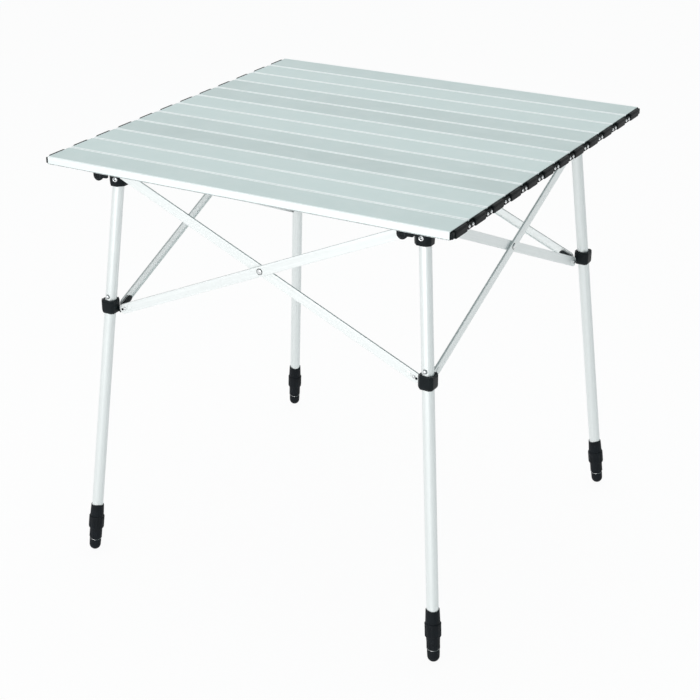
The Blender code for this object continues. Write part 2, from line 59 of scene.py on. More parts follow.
QUARTER = math.pi / 2
FULL_TURN = 2 * math.pi
SHARP_ANGLE = math.radians(38)
MERGE_DISTANCE = 0.000001
SMALLEST_RADIUS = 0.00005
BUMP_DISTANCE = 0.0002
SCOOP_RUN = 0.004
METAL_DUST = 0.10
WORN_METAL: Colour = (0.90, 0.91, 0.91)
PLASTIC_DUST: Colour = (0.30, 0.29, 0.27)
BORE_LEAN = 0.7  # The share of a leg's tilt that the bores of hub and collar take up.
FACINGS = {"+x": (1, "Y"), "-x": (-1, "Y"), "+y": (-1, "X"), "-y": (1, "X")}


class Corner(Enum):
    """The four corners; each value is the side along X, the side along Y and the quarter turns."""

    FL = (-1, -1, 3)
    FR = (1, -1, 0)
    BR = (1, 1, 1)
    BL = (-1, 1, 2)

    @property
    def tag(self) -> str:
        """Return the corner's short name."""
        return self.name.lower()

    @property
    def side_y(self) -> int:
        """Return the side along Y: -1 in front, 1 behind."""
        return self.value[1]

    @property
    def outwards(self) -> str:
        """Return the direction along Y that looks out of the frame."""
        return "-y" if self.side_y < 0 else "+y"


class Side(Enum):
    """The four faces of the frame; each value is the quarter turns from the front."""

    FRONT = 0
    RIGHT = 1
    BACK = 2
    LEFT = 3

    @property
    def tag(self) -> str:
        """Return the side's name."""
        return self.name.lower()


@dataclass(frozen=True)
class TableSizes:
    """Sizes that the sub-assemblies share, in metres."""

    width: float = 0.690
    depth: float = 0.690
    height: float = 0.700
    slats: int = 12
    slat_thickness: float = 0.012
    splay: float = 0.088
    foot_inset: float = 0.0198
    hub_level: float = 0.6665
    collar_level: float = 0.447
    pivot_inset: float = 0.016
    layer_out: float = 0.0137
    brace_width: float = 0.016
    brace_depth: float = 0.0035
    brace_space: float = 0.0004
    clearance: float = 0.0003
    tube_radius: float = 0.00925

    @property
    def pitch(self) -> float:
        """Return the distance from slat to slat."""
        return self.depth / self.slats

    @property
    def under(self) -> float:
        """Return the level of the slats' underside."""
        return self.height - self.slat_thickness

    @property
    def tilt(self) -> float:
        """Return how far a leg leans from upright, in radians."""
        return math.atan(self.splay * math.sqrt(2.0))

    @property
    def leg_length(self) -> float:
        """Return the length of a leg from its hinge to the floor."""
        return self.hub_level / math.cos(self.tilt)

    @property
    def spread(self) -> float:
        """Return how far the brace pivots stand from the middle."""
        return self.half(self.hub_level) - self.pivot_inset

    def half(self, level: float) -> float:
        """Return how far the leg axes stand from the middle at a level."""
        return self.width / 2 - self.foot_inset - self.splay * level


SIZES = TableSizes()


def moved(x: float = 0.0, y: float = 0.0, z: float = 0.0) -> Array:
    """Return the matrix of a shift."""
    return np.array(Matrix.Translation((x, y, z)))


def turned(angle: float, axis: str) -> Array:
    """Return the matrix of a turn about a named axis."""
    return np.array(Matrix.Rotation(angle, 4, axis))


def facing(axis: str, x: float = 0.0, y: float = 0.0, z: float = 0.0) -> Array:
    """Return the pose at a point whose local Z looks along +x, +y, -x or -y."""
    sign, about = FACINGS[axis]
    return moved(x, y, z) @ turned(sign * QUARTER, about)


def upright(corner: Corner, level: float) -> Array:
    """Return the pose at a leg's axis with the table's own directions.

    Args:
        corner: The corner.
        level: The level above the floor, in metres.

    Returns:
        The pose as a matrix.
    """
    side_x, side_y, _ = corner.value
    half = SIZES.half(level)
    return moved(side_x * half, side_y * half, level)


def corner_pose(corner: Corner, level: float) -> Array:
    """Return the pose at a leg's axis, turned so that local -Y and +X look outwards."""
    return upright(corner, level) @ turned(corner.value[2] * QUARTER, "Z")


def leg_pose(corner: Corner) -> Array:
    """Return a leg's pose: origin on the floor, local Z up its axis, local X along its hinge.

    Args:
        corner: The corner.

    Returns:
        The pose as a matrix.
    """
    side_x, side_y, _ = corner.value
    foot = upright(corner, 0.0)[:3, 3]
    up = upright(corner, SIZES.hub_level)[:3, 3] - foot
    up = up / np.linalg.norm(up)
    across = np.array((-side_y, side_x, 0.0)) / math.sqrt(2.0)
    pose = np.eye(4)
    pose[:3, :3] = np.stack((across, np.cross(up, across), up), axis=1)
    pose[:3, 3] = foot
    return pose


def side_pose(side: Side) -> Array:
    """Return a face's pose: local X across it, local Y up, local Z out of it at the braces."""
    reach = SIZES.half(SIZES.hub_level) + SIZES.layer_out
    return turned(side.value * QUARTER, "Z") @ facing("-y", 0.0, -reach)


def placed(name: str, data: bpy.types.ID) -> bpy.types.Object:
    """Return a new object that holds the data, linked to the scene.

    Args:
        name: The object's name.
        data: Its mesh, lamp or camera.

    Returns:
        The new object.
    """
    made = bpy.data.objects.new(name, data)
    bpy.context.scene.collection.objects.link(made)
    return made


@dataclass(frozen=True)
class Outline:
    """A convex outline with rounded corners.

    Each corner's arc centre lies inside the corner by the inset and the radius, measured along
    (n1 + n2) / (1 + n1.n2) of its two edge normals, and the arc runs from one normal to the next.
    """

    corners: tuple[tuple[float, float], ...]
    radii: tuple[float, ...]
    facets: int = 6

    def at(self, inset: float = 0.0) -> Array:
        """Return the outline drawn in by an inset.

        Args:
            inset: How far every edge moves inwards, in metres.

        Returns:
            The points, counter-clockwise, as an array of rows (x, y).
        """
        corners = np.array(self.corners)
        ahead = np.roll(corners, -1, axis=0) - corners
        ahead = ahead / np.linalg.norm(ahead, axis=1, keepdims=True)
        after = np.stack((ahead[:, 1], -ahead[:, 0]), axis=1)
        before = np.roll(after, 1, axis=0)
        bisector = (before + after) / (1.0 + (before * after).sum(axis=1, keepdims=True))
        radius = np.maximum(np.array(self.radii) - inset, SMALLEST_RADIUS)[:, None]
        centre = corners - bisector * (inset + radius)
        first = np.arctan2(before[:, 1], before[:, 0])
        swing = np.mod(np.arctan2(after[:, 1], after[:, 0]) - first, FULL_TURN)
        turn = first[:, None] + swing[:, None] * np.linspace(0.0, 1.0, self.facets + 1)[None]
        arcs = np.stack((np.cos(turn), np.sin(turn)), axis=2) * radius[:, :, None]
        return (centre[:, None, :] + arcs).reshape(-1, 2)


def plate(left: float, right: float, low: float, high: float, *radii: float) -> Outline:
    """Return a rectangle's outline with one corner radius, or four from the lower left round."""
    four = radii if len(radii) == 4 else radii * 4
    return Outline(((left, low), (right, low), (right, high), (left, high)), four)


def octagon(half: float, facet: float, wide: float, radius: float, facets: int) -> Outline:
    """Return a square's outline with cut corners, the one at +X +Y cut by its own length.

    Args:
        half: Half of the square's width.
        facet: How much three of its corners are cut.
        wide: How much the one at +X +Y is cut.
        radius: The radius of each edge.
        facets: How many steps each radius has.

    Returns:
        The outline.
    """
    h, f, w = half, facet, wide
    cuts = (
        (-h + f, -h), (h - f, -h), (h, -h + f), (h, h - w),
        (h - w, h), (-h + f, h), (-h, h - f), (-h, -h + f),
    )
    return Outline(cuts, (radius,) * 8, facets)


def tongue(length: float, half: float) -> Outline:
    """Return a lug's outline: a round end about the pivot and a straight run towards +X."""
    end = half - 0.00001
    return plate(-half, length, -half, half, end, 0.0006, 0.0006, end)


def soft_rows(low: float, high: float, radius: float, steps: int) -> list[tuple[float, float]]:
    """Return (level, inset) rows of a solid whose two ends are rounded by quarter circles.

    Args:
        low: The level of the first end.
        high: The level of the second.
        radius: The edges' radius.
        steps: How many steps each quarter circle has.

    Returns:
        The rows.
    """
    turn = np.linspace(0.0, QUARTER, steps + 1)
    arc = [(radius * (1.0 - math.cos(t)), radius * (1.0 - math.sin(t))) for t in turn]
    lower = [(low + rise, inset) for rise, inset in arc]
    return lower + [(high - rise, inset) for rise, inset in arc[::-1]]


def bore_row(angle: Array, radius: float, level: float, rim: Array | float = 0.0) -> Array:
    """Return a row of a leg's bore: a circle at the given angles whose middle follows the leg outwards.

    Args:
        angle: The angle of each point about the leg.
        radius: The bore's radius.
        level: The row's level.
        rim: How much higher each point lies.

    Returns:
        The row's points.
    """
    circle = radius * np.stack((np.cos(angle), np.sin(angle)), axis=1)
    shift = np.array((1.0, -1.0)) / math.sqrt(2.0) * math.tan(SIZES.tilt * BORE_LEAN) * level
    return np.column_stack((circle - shift, level + rim + np.zeros(len(angle))))


def rivet_head(radius: float, rise: float) -> Array:
    """Return a rivet head's profile: a flat-topped dome with a dished middle.

    Args:
        radius: The radius of the head.
        rise: Its height.

    Returns:
        The (radius, level) points.
    """
    share = (
        (0.0, 0.70), (0.30, 0.70), (0.42, 1.0), (0.66, 0.92),
        (0.88, 0.60), (1.0, 0.20), (1.0, 0.0), (0.0, 0.0),
    )
    return np.array(share) * (radius, rise)


@dataclass(frozen=True)
class Coat:
    """A finished material and the name of a material slot in the record, kept beside it."""

    material: bpy.types.Material
    slot: str


class Surface:
    """One piece's mesh, gathered from grids of points and flat ends."""

    def __init__(self) -> None:
        """Start with nothing."""
        self.points: list[Array] = []
        self.faces: list[list[int]] = []
        self.masks: list[Array] = []
        self.places: list[Array] = []
        self.count = 0

    def grid(
        self,
        points: Array,
        pose: Array | None = None,
        closed: tuple[bool, bool] = (False, True),
        ends: bool = False,
        mask: Array | None = None,
    ) -> "Surface":
        """Add a grid of quads, each joining (i, j), (i+1, j), (i+1, j+1) and (i, j+1).

        Args:
            points: The grid, as an array (rows, columns, 3).
            pose: The matrix that places it.
            closed: Whether the rows, and the columns, join end to start.
            ends: Whether the first and last rows are filled with a flat face.
            mask: One value for each column, or for each row and column, kept as the attribute "band".

        Returns:
            This surface.
        """
        rows, columns, _ = points.shape
        first, place = self.count, points.reshape(-1, 3)
        self.count += len(place)
        self.places.append(place)
        self.points.append(place if pose is None else place @ pose[:3, :3].T + pose[:3, 3])
        self.masks.append(np.broadcast_to(0.0 if mask is None else mask, (rows, columns)).reshape(-1))
        across, down = np.meshgrid(
            np.arange(columns if closed[1] else columns - 1), np.arange(rows if closed[0] else rows - 1)
        )
        beside, below = (across + 1) % columns, (down + 1) % rows
        around = ((down, across), (below, across), (below, beside), (down, beside))
        quads = np.stack([row * columns + column for row, column in around], axis=2).reshape(-1, 4)
        self.faces += (quads + first).tolist()
        if ends:
            last = first + (rows - 1) * columns
            self.faces.append((first + np.arange(columns)).tolist())
            self.faces.append((last + np.arange(columns)[::-1]).tolist())
        return self

    def loft(
        self,
        outline: Outline,
        rows: Sequence[tuple[float, float]],
        pose: Array,
        band: Sequence[float] | None = None,
    ) -> "Surface":
        """Add a closed solid: the outline at each (level, inset) row, with flat ends.

        Args:
            outline: The outline.
            rows: The rows, from the first flat end to the last.
            pose: The matrix that places it.
            band: One mask value for each row.

        Returns:
            This surface.
        """
        count = len(outline.at())
        stack = [np.column_stack((outline.at(inset), np.full(count, level))) for level, inset in rows]
        mask = None if band is None else np.array(band)[:, None]
        return self.grid(np.stack(stack), pose, ends=True, mask=mask)

    def slab(
        self, outline: Outline, low: float, high: float, soft: float, steps: int, pose: Array
    ) -> "Surface":
        """Add a plate between two levels, its edges rounded in a number of steps."""
        return self.loft(outline, soft_rows(low, high, soft, steps), pose)

    def spin(
        self,
        profile: Sequence[tuple[float, float]] | Array,
        pose: Array,
        segments: int,
        ribs: int = 0,
        depth: float = 0.0,
        ribbed: tuple[float, float] = (0.0, 0.0),
        scoop: tuple[float, float] = (1.0, 0.0),
    ) -> "Surface":
        """Add a turned piece: x = r cos t, y = r sin t, with an optional ribbed stretch and scooped end.

        Args:
            profile: (radius, level) points; a stretch from axis to axis closes by itself.
            pose: The matrix that places it.
            segments: How many steps go round.
            ribs: How many ribs go round; the radius falls by depth * (1 - |cos(ribs t / 2)|).
            depth: How deep the hollows between ribs are.
            ribbed: The levels between which there are ribs.
            scoop: Above the first level, points come to drop by the second value times sin^2 t.

        Returns:
            This surface.
        """
        radius, level = np.array(profile).T
        turn = np.linspace(0.0, FULL_TURN, segments, endpoint=False)
        inside = ((level > ribbed[0]) & (level < ribbed[1])).astype(float)
        hollow = depth * (1.0 - np.abs(np.cos(ribs * turn / 2)))
        reach = radius[:, None] - inside[:, None] * hollow[None]
        high = np.clip((level - scoop[0]) / SCOOP_RUN, 0.0, 1.0)
        rise = level[:, None] - scoop[1] * high[:, None] * np.sin(turn)[None] ** 2
        grid = np.stack((reach * np.cos(turn), reach * np.sin(turn), rise), axis=2)
        hoop = radius[0] > 0.0 and radius[-1] > 0.0
        return self.grid(grid, pose, closed=(bool(hoop), True))

    def build(self, name: str, body: str, coat: Coat, *nodes: str) -> bpy.types.Object:
        """Make the piece and let it ride on its body.

        Args:
            name: The piece's name.
            body: The body that it rides on.
            coat: Its material and slot.
            *nodes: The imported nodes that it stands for.

        Returns:
            The new object.
        """
        mesh = bpy.data.meshes.new(name)
        mesh.from_pydata(np.concatenate(self.points).tolist(), [], self.faces)
        band = mesh.attributes.new("band", "FLOAT", "POINT")
        band.data.foreach_set("value", np.concatenate(self.masks).astype(np.float32))
        place = mesh.attributes.new("place", "FLOAT_VECTOR", "POINT")
        place.data.foreach_set("vector", np.concatenate(self.places).astype(np.float32).ravel())
        tidy = bmesh.new()
        tidy.from_mesh(mesh)
        bmesh.ops.remove_doubles(tidy, verts=tidy.verts, dist=MERGE_DISTANCE)
        bmesh.ops.recalc_face_normals(tidy, faces=tidy.faces)
        tidy.to_mesh(mesh)
        tidy.free()
        mesh.materials.append(coat.material)
        mesh.shade_smooth()
        mesh.set_sharp_from_angle(angle=SHARP_ANGLE)
        piece = placed(name, mesh)
        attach(piece, body)
        if nodes:
            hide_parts(*nodes)
        LOG.info("%s: %d faces on %s", name, len(mesh.polygons), body)
        return piece


class Shading:
    """Short ways to add and join shader nodes in one tree."""

    def __init__(self, tree: Tree) -> None:
        """Work in one node tree."""
        self.tree = tree

    def join(self, value: object, socket: Socket) -> None:
        """Link a socket to an input, or set the input; a colour of three parts gets an alpha of 1.

        Args:
            value: The socket or the value.
            socket: The input.
        """
        if isinstance(value, Socket):
            self.tree.links.new(value, socket)
        else:
            socket.default_value = (*value, 1.0) if isinstance(value, tuple) else value

    def add(self, kind: str, **values: object) -> Node:
        """Return a new node with its properties set.

        Args:
            kind: The node's type.
            **values: Its properties.

        Returns:
            The new node.
        """
        node = self.tree.nodes.new(kind)
        for key, value in values.items():
            setattr(node, key, value)
        return node

    def put(self, node: Node, **inputs: object) -> Node:
        """Set or link a node's inputs by name, with _ for a space, and return the node.

        Args:
            node: The node.
            **inputs: Each input's name and its value or socket.

        Returns:
            The same node.
        """
        for key, value in inputs.items():
            self.join(value, node.inputs[key.replace("_", " ")])
        return node

    def math(self, operation: str, *values: object) -> Socket:
        """Return the result of a Math node.

        Args:
            operation: The node's operation.
            *values: Its inputs.

        Returns:
            The result.
        """
        node = self.add("ShaderNodeMath", operation=operation)
        for value, socket in zip(values, node.inputs):
            self.join(value, socket)
        return node.outputs[0]

    def ramp(self, value: object, low: object, high: object) -> Socket:
        """Return 0 below low, 1 above high and a smooth step between."""
        node = self.add("ShaderNodeMapRange", interpolation_type="SMOOTHSTEP")
        return self.put(node, Value=value, From_Min=low, From_Max=high).outputs[0]

    def mix(self, factor: object, first: object, second: object) -> Socket:
        """Return a blend of two colours.

        Args:
            factor: How much of the second colour there is.
            first: The first colour.
            second: The second.

        Returns:
            The blend.
        """
        node = self.add("ShaderNodeMix", data_type="RGBA")
        for index, value in ((0, factor), (6, first), (7, second)):
            self.join(value, node.inputs[index])
        return node.outputs[2]

    def coordinates(self, kind: str = "Object") -> Socket:
        """Return one of the texture coordinates."""
        return self.add("ShaderNodeTexCoord").outputs[kind]

    def attribute(self, name: str, kind: str = "Fac") -> Socket:
        """Return a mesh attribute, as a value or as a vector."""
        return self.add("ShaderNodeAttribute", attribute_name=name).outputs[kind]

    def noise(self, vector: object, scale: object, detail: float) -> Socket:
        """Return a noise's value."""
        node = self.put(self.add("ShaderNodeTexNoise"), Vector=vector, Scale=scale, Detail=detail)
        return node.outputs["Fac"]

    def group(self, tree: Tree, **inputs: object) -> Node:
        """Return a node that uses a shared group."""
        return self.put(self.add("ShaderNodeGroup", node_tree=tree), **inputs)

    def bump(self, height: object, strength: float) -> Socket:
        """Return the normal of a fine relief."""
        node = self.put(self.add("ShaderNodeBump"), Strength=strength, Height=height)
        return self.put(node, Distance=BUMP_DISTANCE).outputs[0]

    def close(self, **outputs: object) -> Tree:
        """Fill the outputs of a group and return its tree."""
        self.put(self.add("NodeGroupOutput"), **outputs)
        return self.tree


class Effects:
    """The node groups that several finishes share, each built once."""

    def __init__(self) -> None:
        """Build the groups."""
        self.brushing = self._brushing()
        self.grain = self._grain()
        self.wear = self._wear()
        self.dust = self._dust()

    @staticmethod
    def _group(
        name: str, inputs: dict[str, float], *outputs: str
    ) -> tuple[Shading, Sequence[Socket]]:
        """Start a group with float inputs and outputs.

        Args:
            name: The group's name.
            inputs: Each input's name and value.
            *outputs: The outputs' names.

        Returns:
            The helper of the group's tree, and the given inputs inside it.
        """
        tree = bpy.data.node_groups.new(name, "ShaderNodeTree")
        for key, value in inputs.items():
            socket = tree.interface.new_socket(key, in_out="INPUT", socket_type="NodeSocketFloat")
            socket.default_value = value
        for key in outputs:
            tree.interface.new_socket(key, in_out="OUTPUT", socket_type="NodeSocketFloat")
        kit = Shading(tree)
        return kit, kit.add("NodeGroupInput").outputs

    def _brushing(self) -> Tree:
        """Return fine lines, noise stretched by three scales, and a cloud of soft patches.

        Returns:
            The tree of the group.
        """
        scales = {"Scale X": 1.0, "Scale Y": 1.0, "Scale Z": 1.0}
        kit, given = self._group("drawn_lines", scales, "Line", "Cloud")
        scale = kit.put(kit.add("ShaderNodeCombineXYZ"), X=given[0], Y=given[1], Z=given[2])
        spread = kit.add("ShaderNodeVectorMath", operation="MULTIPLY")
        kit.join(kit.attribute("place", "Vector"), spread.inputs[0])
        kit.join(scale.outputs[0], spread.inputs[1])
        cloud = kit.noise(kit.coordinates(), 9.0, 2.0)
        return kit.close(Line=kit.noise(spread.outputs[0], 1.0, 3.0), Cloud=cloud)

    def _grain(self) -> Tree:
        """Return a spark-eroded mould grain, small cells softened by noise, and a cloud of soft patches.

        Returns:
            The tree of the group.
        """
        kit, given = self._group("mould_grain", {"Scale": 1.0}, "Height", "Cloud")
        place = kit.coordinates()
        cell = kit.put(kit.add("ShaderNodeTexVoronoi"), Vector=place, Scale=given[0])
        cell_height = kit.math("MULTIPLY", cell.outputs["Distance"], 0.5)
        height = kit.math("ADD", cell_height, kit.noise(place, given[0], 4.0))
        return kit.close(Height=height, Cloud=kit.noise(place, 60.0, 2.0))

    def _wear(self) -> Tree:
        """Return where edges stand out, broken up by noise.

        Returns:
            The tree of the group.
        """
        kit, given = self._group("edge_wear", {"Start": 0.52, "Full": 0.62}, "Mask")
        edge = kit.ramp(kit.add("ShaderNodeNewGeometry").outputs["Pointiness"], given[0], given[1])
        broken = kit.ramp(kit.noise(kit.coordinates(), 420.0, 3.0), 0.35, 0.6)
        return kit.close(Mask=kit.math("MULTIPLY", edge, broken))

    def _dust(self) -> Tree:
        """Return where a faint film lies: on faces that look up, in soft patches.

        Returns:
            The tree of the group.
        """
        kit, given = self._group("settled_dust", {"Amount": 0.2}, "Mask")
        parts = kit.add("ShaderNodeSeparateXYZ")
        kit.join(kit.coordinates("Normal"), parts.inputs[0])
        patch = kit.ramp(kit.noise(kit.coordinates(), 35.0, 5.0), 0.4, 0.7)
        patch = kit.math("MULTIPLY", kit.ramp(parts.outputs[2], 0.2, 0.95), patch)
        return kit.close(Mask=kit.math("MULTIPLY", patch, given[0]))


def shaded(name: str) -> tuple[bpy.types.Material, Shading, Node]:
    """Return a new material, the helper of its tree and its shader.

    Args:
        name: The name of the material.

    Returns:
        The material, the helper of its tree and its shader.
    """
    made = bpy.data.materials.new(name)
    made.use_nodes = True
    return made, Shading(made.node_tree), made.node_tree.nodes["Principled BSDF"]


def scaled(colour: Colour, factor: float) -> Colour:
    """Return a colour made darker or paler by a factor."""
    return tuple(factor * part for part in colour)


@dataclass(frozen=True)
class MetalFinish:
    """A drawn or brushed metal: fine lines in colour, roughness and height."""

    name: str
    slot: str
    colour: Colour
    metallic: float
    roughness: float
    lines: tuple[float, float, float]
    line_depth: float
    line_shade: float = 0.90
    band_colour: Colour | None = None
    band_roughness: float = 0.42
    # Colour of the painted shadow line on folded edges, where the band is below zero.
    shadow_line_colour: Colour = (0.34, 0.37, 0.37)
    dust_colour: Colour = (0.66, 0.67, 0.65)

    def coat(self, effects: Effects) -> Coat:
        """Return the finish as a material.

        Where a band's colour is given, the attribute "band" lays it over the metal, and the parts outside
        it are not metallic and keep the finish's own colour, near white on the boards as a painted highlight;
        below zero the attribute marks a folded edge that gets a painted shadow line.

        Args:
            effects: The shared node groups.

        Returns:
            The new material and its slot.
        """
        made, kit, shader = shaded(self.name)
        across, along, up = self.lines
        drawn = kit.group(effects.brushing, Scale_X=across, Scale_Y=along, Scale_Z=up)
        line, cloud = drawn.outputs["Line"], drawn.outputs["Cloud"]
        tone = kit.mix(kit.ramp(line, 0.3, 0.7), scaled(self.colour, self.line_shade), self.colour)
        rough = kit.math("ADD", self.roughness - 0.06, kit.math("MULTIPLY", line, 0.12))
        metallic: object = self.metallic
        band = kit.attribute("band")
        if self.band_colour is not None:
            top = kit.mix(kit.ramp(cloud, 0.35, 0.65), scaled(self.band_colour, 0.95), self.band_colour)
            top = kit.mix(kit.ramp(band, 0.65, 1.0), scaled(self.band_colour, 1.12), top)
            # Outside the laid tint the colour stays the finish's own, near white on the boards: a painted
            # highlight on their rounded edges and sides.
            laid = kit.ramp(band, 0.0, 0.6)
            tone = kit.mix(laid, tone, top)
            rough = kit.math("ADD", rough, kit.math("MULTIPLY", laid, self.band_roughness - self.roughness))
            metallic = kit.math("MULTIPLY", laid, self.metallic)
        # Painted shadow line: where the band is below zero the colour blends towards the dark edge colour.
        tone = kit.mix(kit.ramp(kit.math("MULTIPLY", band, -1.0), 0.3, 1.0), tone, self.shadow_line_colour)
        tone = kit.mix(kit.group(effects.wear).outputs["Mask"], tone, WORN_METAL)
        tone = kit.mix(kit.group(effects.dust, Amount=METAL_DUST).outputs["Mask"], tone, self.dust_colour)
        rough = kit.math("ADD", rough, kit.math("MULTIPLY", cloud, 0.05))
        relief = kit.bump(line, self.line_depth)
        kit.put(shader, Base_Color=tone, Roughness=rough, Metallic=metallic, Normal=relief)
        return Coat(made, self.slot)


@dataclass(frozen=True)
class MouldedFinish:
    """A moulded plastic or rubber: mould grain, paler rubbed edges and a film of dust."""

    name: str
    slot: str
    colour: Colour
    roughness: float
    grain: float = 2200.0
    grain_depth: float = 0.12
    rubbed: Colour = (0.10, 0.10, 0.105)
    dust: float = 0.06
    shine: float = 0.15

    def coat(self, effects: Effects) -> Coat:
        """Return the finish as a material.

        Args:
            effects: The shared node groups.

        Returns:
            The new material and its slot.
        """
        made, kit, shader = shaded(self.name)
        grain = kit.group(effects.grain, Scale=self.grain)
        height, cloud = grain.outputs["Height"], grain.outputs["Cloud"]
        worn = kit.group(effects.wear).outputs["Mask"]
        tone = kit.mix(kit.ramp(cloud, 0.3, 0.7), scaled(self.colour, 0.7), self.colour)
        tone = kit.mix(kit.math("MULTIPLY", worn, 0.6), tone, self.rubbed)
        tone = kit.mix(kit.group(effects.dust, Amount=self.dust).outputs["Mask"], tone, PLASTIC_DUST)
        rough = kit.math("ADD", self.roughness - 0.06, kit.math("MULTIPLY", cloud, 0.12))
        rough = kit.math("SUBTRACT", rough, kit.math("MULTIPLY", worn, 0.1))
        kit.put(shader, Base_Color=tone, Roughness=rough, Normal=kit.bump(height, self.grain_depth))
        kit.put(shader, Specular_IOR_Level=self.shine)
        return Coat(made, self.slot)


class Finishes:
    """The table's materials."""

    def __init__(self) -> None:
        """Make each material once."""
        effects = Effects()
        along_slat = (3.0, 900.0, 900.0)
        up_leg = (700.0, 700.0, 3.0)
        along_brace = (4.0, 420.0, 420.0)
        even = (300.0, 300.0, 300.0)
        # Near white where the top's tint is not laid: a painted highlight on the boards' rounded edges and
        # sides.
        self.slat = MetalFinish(
            "slat_anodised", "slat_aluminium", (0.95, 1.0, 0.995), 0.25, 0.36, along_slat, 0.06, 0.97,
            band_colour=(0.575, 0.672, 0.660), dust_colour=(0.82, 0.85, 0.84),
        ).coat(effects)
        self.tube = MetalFinish(
            "tube_drawn", "tube_aluminium", (0.83, 0.86, 0.855), 0.42, 0.36, up_leg, 0.03, 0.94
        ).coat(effects)
        self.brace = MetalFinish(
            "brace_drawn", "brace_aluminium", (0.90, 0.925, 0.92), 0.45, 0.36, along_brace, 0.02, 0.95
        ).coat(effects)
        self.rivet = MetalFinish(
            "rivet_plated", "rivet_steel", (0.72, 0.74, 0.75), 1.0, 0.16, even, 0.03
        ).coat(effects)
        self.plastic = MouldedFinish(
            "frame_plastic", "black_plastic", (0.005, 0.009, 0.011), 0.46
        ).coat(effects)
        self.cap = MouldedFinish(
            "cap_plastic", "black_plastic", (0.005, 0.008, 0.009), 0.50, 2600.0, 0.10, (0.05, 0.055, 0.055),
            dust=0.04, shine=0.09,
        ).coat(effects)
        self.rubber = MouldedFinish(
            "foot_rubber", "foot_rubber", (0.006, 0.009, 0.012), 0.60, 1500.0, 0.20, (0.05, 0.052, 0.055)
        ).coat(effects)


